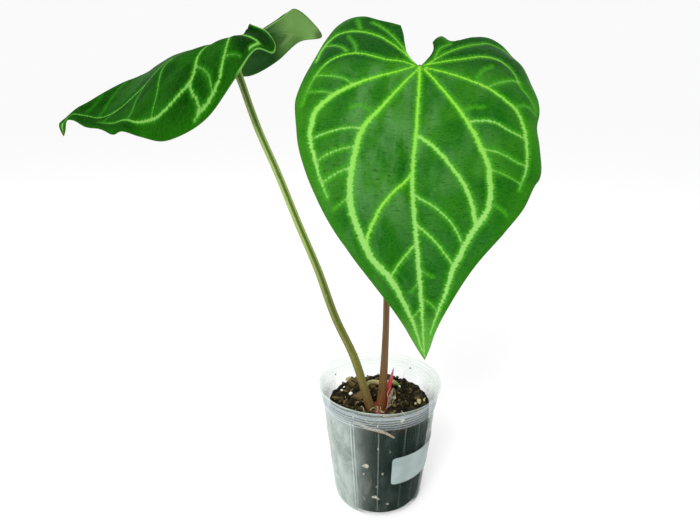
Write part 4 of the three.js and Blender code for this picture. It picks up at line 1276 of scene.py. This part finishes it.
def wall_tint(finish, y, height, ring, crease_glint):
    """Grey-green, with painted shade on the right side that deepens towards the foot, paler on the back of
    the band and the lip, and painted highlights on the rings and creases.
    """
    # Painted shade: the right side of the wall is darkened below the band, darkest low down.
    shaded_side = finish.sum("MULTIPLY", finish.number("shaded_side"), finish.ramp(height, 84, 77))
    shaded_side_tone = finish.mix(finish.ramp(height, 25, 60), (0.07, 0.115, 0.10), (0.18, 0.25, 0.22))
    tone = finish.mix(shaded_side, (0.45, 0.53, 0.49), shaded_side_tone)
    back_top = finish.sum("MULTIPLY", finish.ramp(y, -10, 15), finish.ramp(height, 83, 89))
    tone = finish.mix(back_top, tone, (0.50, 0.72, 0.54))
    tone = finish.mix(finish.ramp(height, 96.5, 98), tone, (0.66, 0.78, 0.72))
    # Painted highlight on the rings' crests.
    tone = finish.mix(finish.sum("MULTIPLY", finish.ramp(ring, 0.6, 0.98), 0.85), tone, (0.62, 0.70, 0.78))
    # Painted highlight along the creases.
    return finish.mix(crease_glint, tone, (0.56, 0.62, 0.61))


def wall_milk(finish, y, height, ring, crease_glint, cloud):
    """How much the wall hides: its haze and clouds, more on the lip and edge on, and more on the rings and
    the creases for their painted highlights.
    """
    edge_on = finish.add("ShaderNodeLayerWeight", {"Blend": 0.25}).outputs["Facing"]
    band = finish.sum("MULTIPLY", finish.ramp(height, 82, 85), finish.ramp(height, 98.5, 97))
    milk = finish.sum("MULTIPLY", finish.number("haze"), finish.ramp(cloud, 0.36, 0.62, 0.6, 1.15))
    milk = finish.sum("MULTIPLY", milk, finish.ramp(height, 81, 93, 1, 0.2))
    # Painted highlight: the rings' crests are made more opaque, mostly on the front of the pot.
    ring_glint = finish.ramp(ring, 0.55, 0.98, 0.05, 0.34)
    ring_glint = finish.sum("MULTIPLY", ring_glint, finish.ramp(y, 20, -20, 0.25, 1))
    plain_wall = finish.ramp(band, 0.9, 0.1, 0.15, 1)
    for more in (
            finish.ramp(cloud, 0.5, 0.7, 0.0, 0.04),
            finish.ramp(height, 84, 92, 0, 0.09),
            finish.sum("MULTIPLY", band, ring_glint),
            finish.sum("MULTIPLY", crease_glint, 0.8),
            finish.ramp(height, 98.6, 99.5, 0, 0.25),
            finish.sum("MULTIPLY", finish.ramp(edge_on, 0.3, 1.0, 0, 0.3), plain_wall),
    ):
        milk = finish.sum("ADD", milk, more)
    return finish.sum("MINIMUM", milk, 0.95)


def clear_wall():
    """Thin clear plastic, cloudy in places, with ringed scuffs."""
    finish = Finish("clear_plastic_wall", Roughness=0.14, IOR=1.45, Specular_IOR_Level=0.2)
    place = finish.place()
    x, y, height = finish.parts(place)
    cloud = finish.grain(finish.stretch(place, (1, 1, 0.6)), 0.07, 4, 0.62)
    scuffs = finish.grain(finish.stretch(place, (0.5, 0.5, 3)), 1.0, 2)
    ring = finish.number("ring")
    crease_glint = wall_creases(finish, x, y, height)
    finish.give("Base Color", wall_tint(finish, y, height, ring, crease_glint))
    finish.give("Alpha", wall_milk(finish, y, height, ring, crease_glint, cloud))
    finish.give("Normal", finish.bump(finish.sum("MULTIPLY_ADD", scuffs, 0.15, cloud), 0.8, 0.35))
    return finish.material


pot = pot_body()
pot.data.materials.append(clear_wall())
settle(pot, "clear_plastic", "pot")


# Label

LABEL_LOW, LABEL_HIGH = 33.5, 58.5
# Its ends, in degrees from the front
LABEL_START, LABEL_END = 11, 88
LABEL_CORNER = 3
LABEL_THICKNESS = 0.25
LABEL_STANDS_OFF = 0.3


def label_body():
    """The label's sheet, wrapped round the wall, with rounded corners."""
    piece, across, up = grid("label_blank", 90, 40)
    z = LABEL_LOW + (LABEL_HIGH - LABEL_LOW) * up
    inset = np.maximum(0, LABEL_CORNER - np.minimum(z - LABEL_LOW, LABEL_HIGH - z))
    shrink = LABEL_CORNER - np.sqrt(np.maximum(0, LABEL_CORNER**2 - inset**2))
    radius = pot_radius(z) + LABEL_STANDS_OFF
    trim = np.degrees(shrink / radius)
    turn = np.radians(LABEL_START + trim + (LABEL_END - LABEL_START - 2 * trim) * across)
    shape(piece, np.column_stack([radius * np.sin(turn), -radius * np.cos(turn), z]))
    apply(piece, "SOLIDIFY", thickness=LABEL_THICKNESS * MM, offset=0)
    round_off(piece, 40)
    return piece


def label_paper():
    """Grey-green paper with faint clouds and a fine grain."""
    finish = Finish("label_paper", Roughness=0.55, Coat_Weight=0.1, Coat_Roughness=0.4)
    place = finish.place()
    fine = finish.grain(place, 1.4, 3)
    cloud = finish.grain(place, 0.08, 2)
    tone = finish.mix(finish.ramp(cloud, 0.35, 0.65), (0.23, 0.295, 0.285), (0.28, 0.35, 0.335))
    tone = finish.mix(finish.ramp(fine, 0.55, 0.75, 0, 0.3), tone, (0.20, 0.26, 0.25))
    finish.give("Base Color", tone)
    finish.give("Normal", finish.bump(fine, 0.08, 0.5))
    return finish.material


label = label_body()
label.data.materials.append(label_paper())
settle(label, "label_paper", "label")


# Stage, light and camera

bpy.ops.object.select_all(action="DESELECT")
bpy.ops.mesh.primitive_plane_add(size=30)
floor = bpy.context.object
floor.name = "floor"
floor_skin = Finish("floor_pale", Roughness=0.9, Specular_IOR_Level=0.0, Emission_Strength=0.38)
floor_skin.shader.inputs["Emission Color"].default_value = colour((1, 1, 1))
floor_grain = floor_skin.grain(floor_skin.place(), 0.02, 2)
floor_skin.give("Base Color", floor_skin.mix(floor_grain, (0.595, 0.595, 0.595), (0.605, 0.605, 0.605)))
floor.data.materials.append(floor_skin.material)

world = bpy.data.worlds.new("studio")
bpy.context.scene.world = world
world.use_nodes = True
sky = world.node_tree.nodes["Background"]
sky.inputs["Color"].default_value = (0.956, 0.956, 0.956, 1)
sky.inputs["Strength"].default_value = 1.0


def lamp(name, place, aim, size, power):
    """A soft square light, with its places and size in metres."""
    bpy.ops.object.select_all(action="DESELECT")
    bpy.ops.object.light_add(type="AREA", location=place)
    light = bpy.context.object
    light.name = name
    light.data.size = size
    light.data.energy = power
    light.rotation_euler = (Vector(aim) - Vector(place)).to_track_quat("-Z", "Y").to_euler()


lamp("key_soft", (-0.9, -0.9, 1.5), (-0.02, -0.02, 0.25), 0.9, 10)
lamp("window_soft", (-0.35, -1.0, 1.05), (0.0, -0.05, 0.27), 0.3, 9)

# The camera's place in metres, and how far below the horizon it looks
CAMERA_PLACE = (-0.0228, -0.3602, 0.3061)
LOOKS_DOWN = math.radians(17.2)
bpy.ops.object.camera_add(location=CAMERA_PLACE, rotation=(math.pi / 2 - LOOKS_DOWN, 0, 0))
camera = bpy.context.object
camera.data.sensor_width = 36
camera.data.lens = 27
camera.data.clip_start = 0.01
bpy.context.scene.camera = camera
bpy.context.scene.view_settings.view_transform = "Standard"
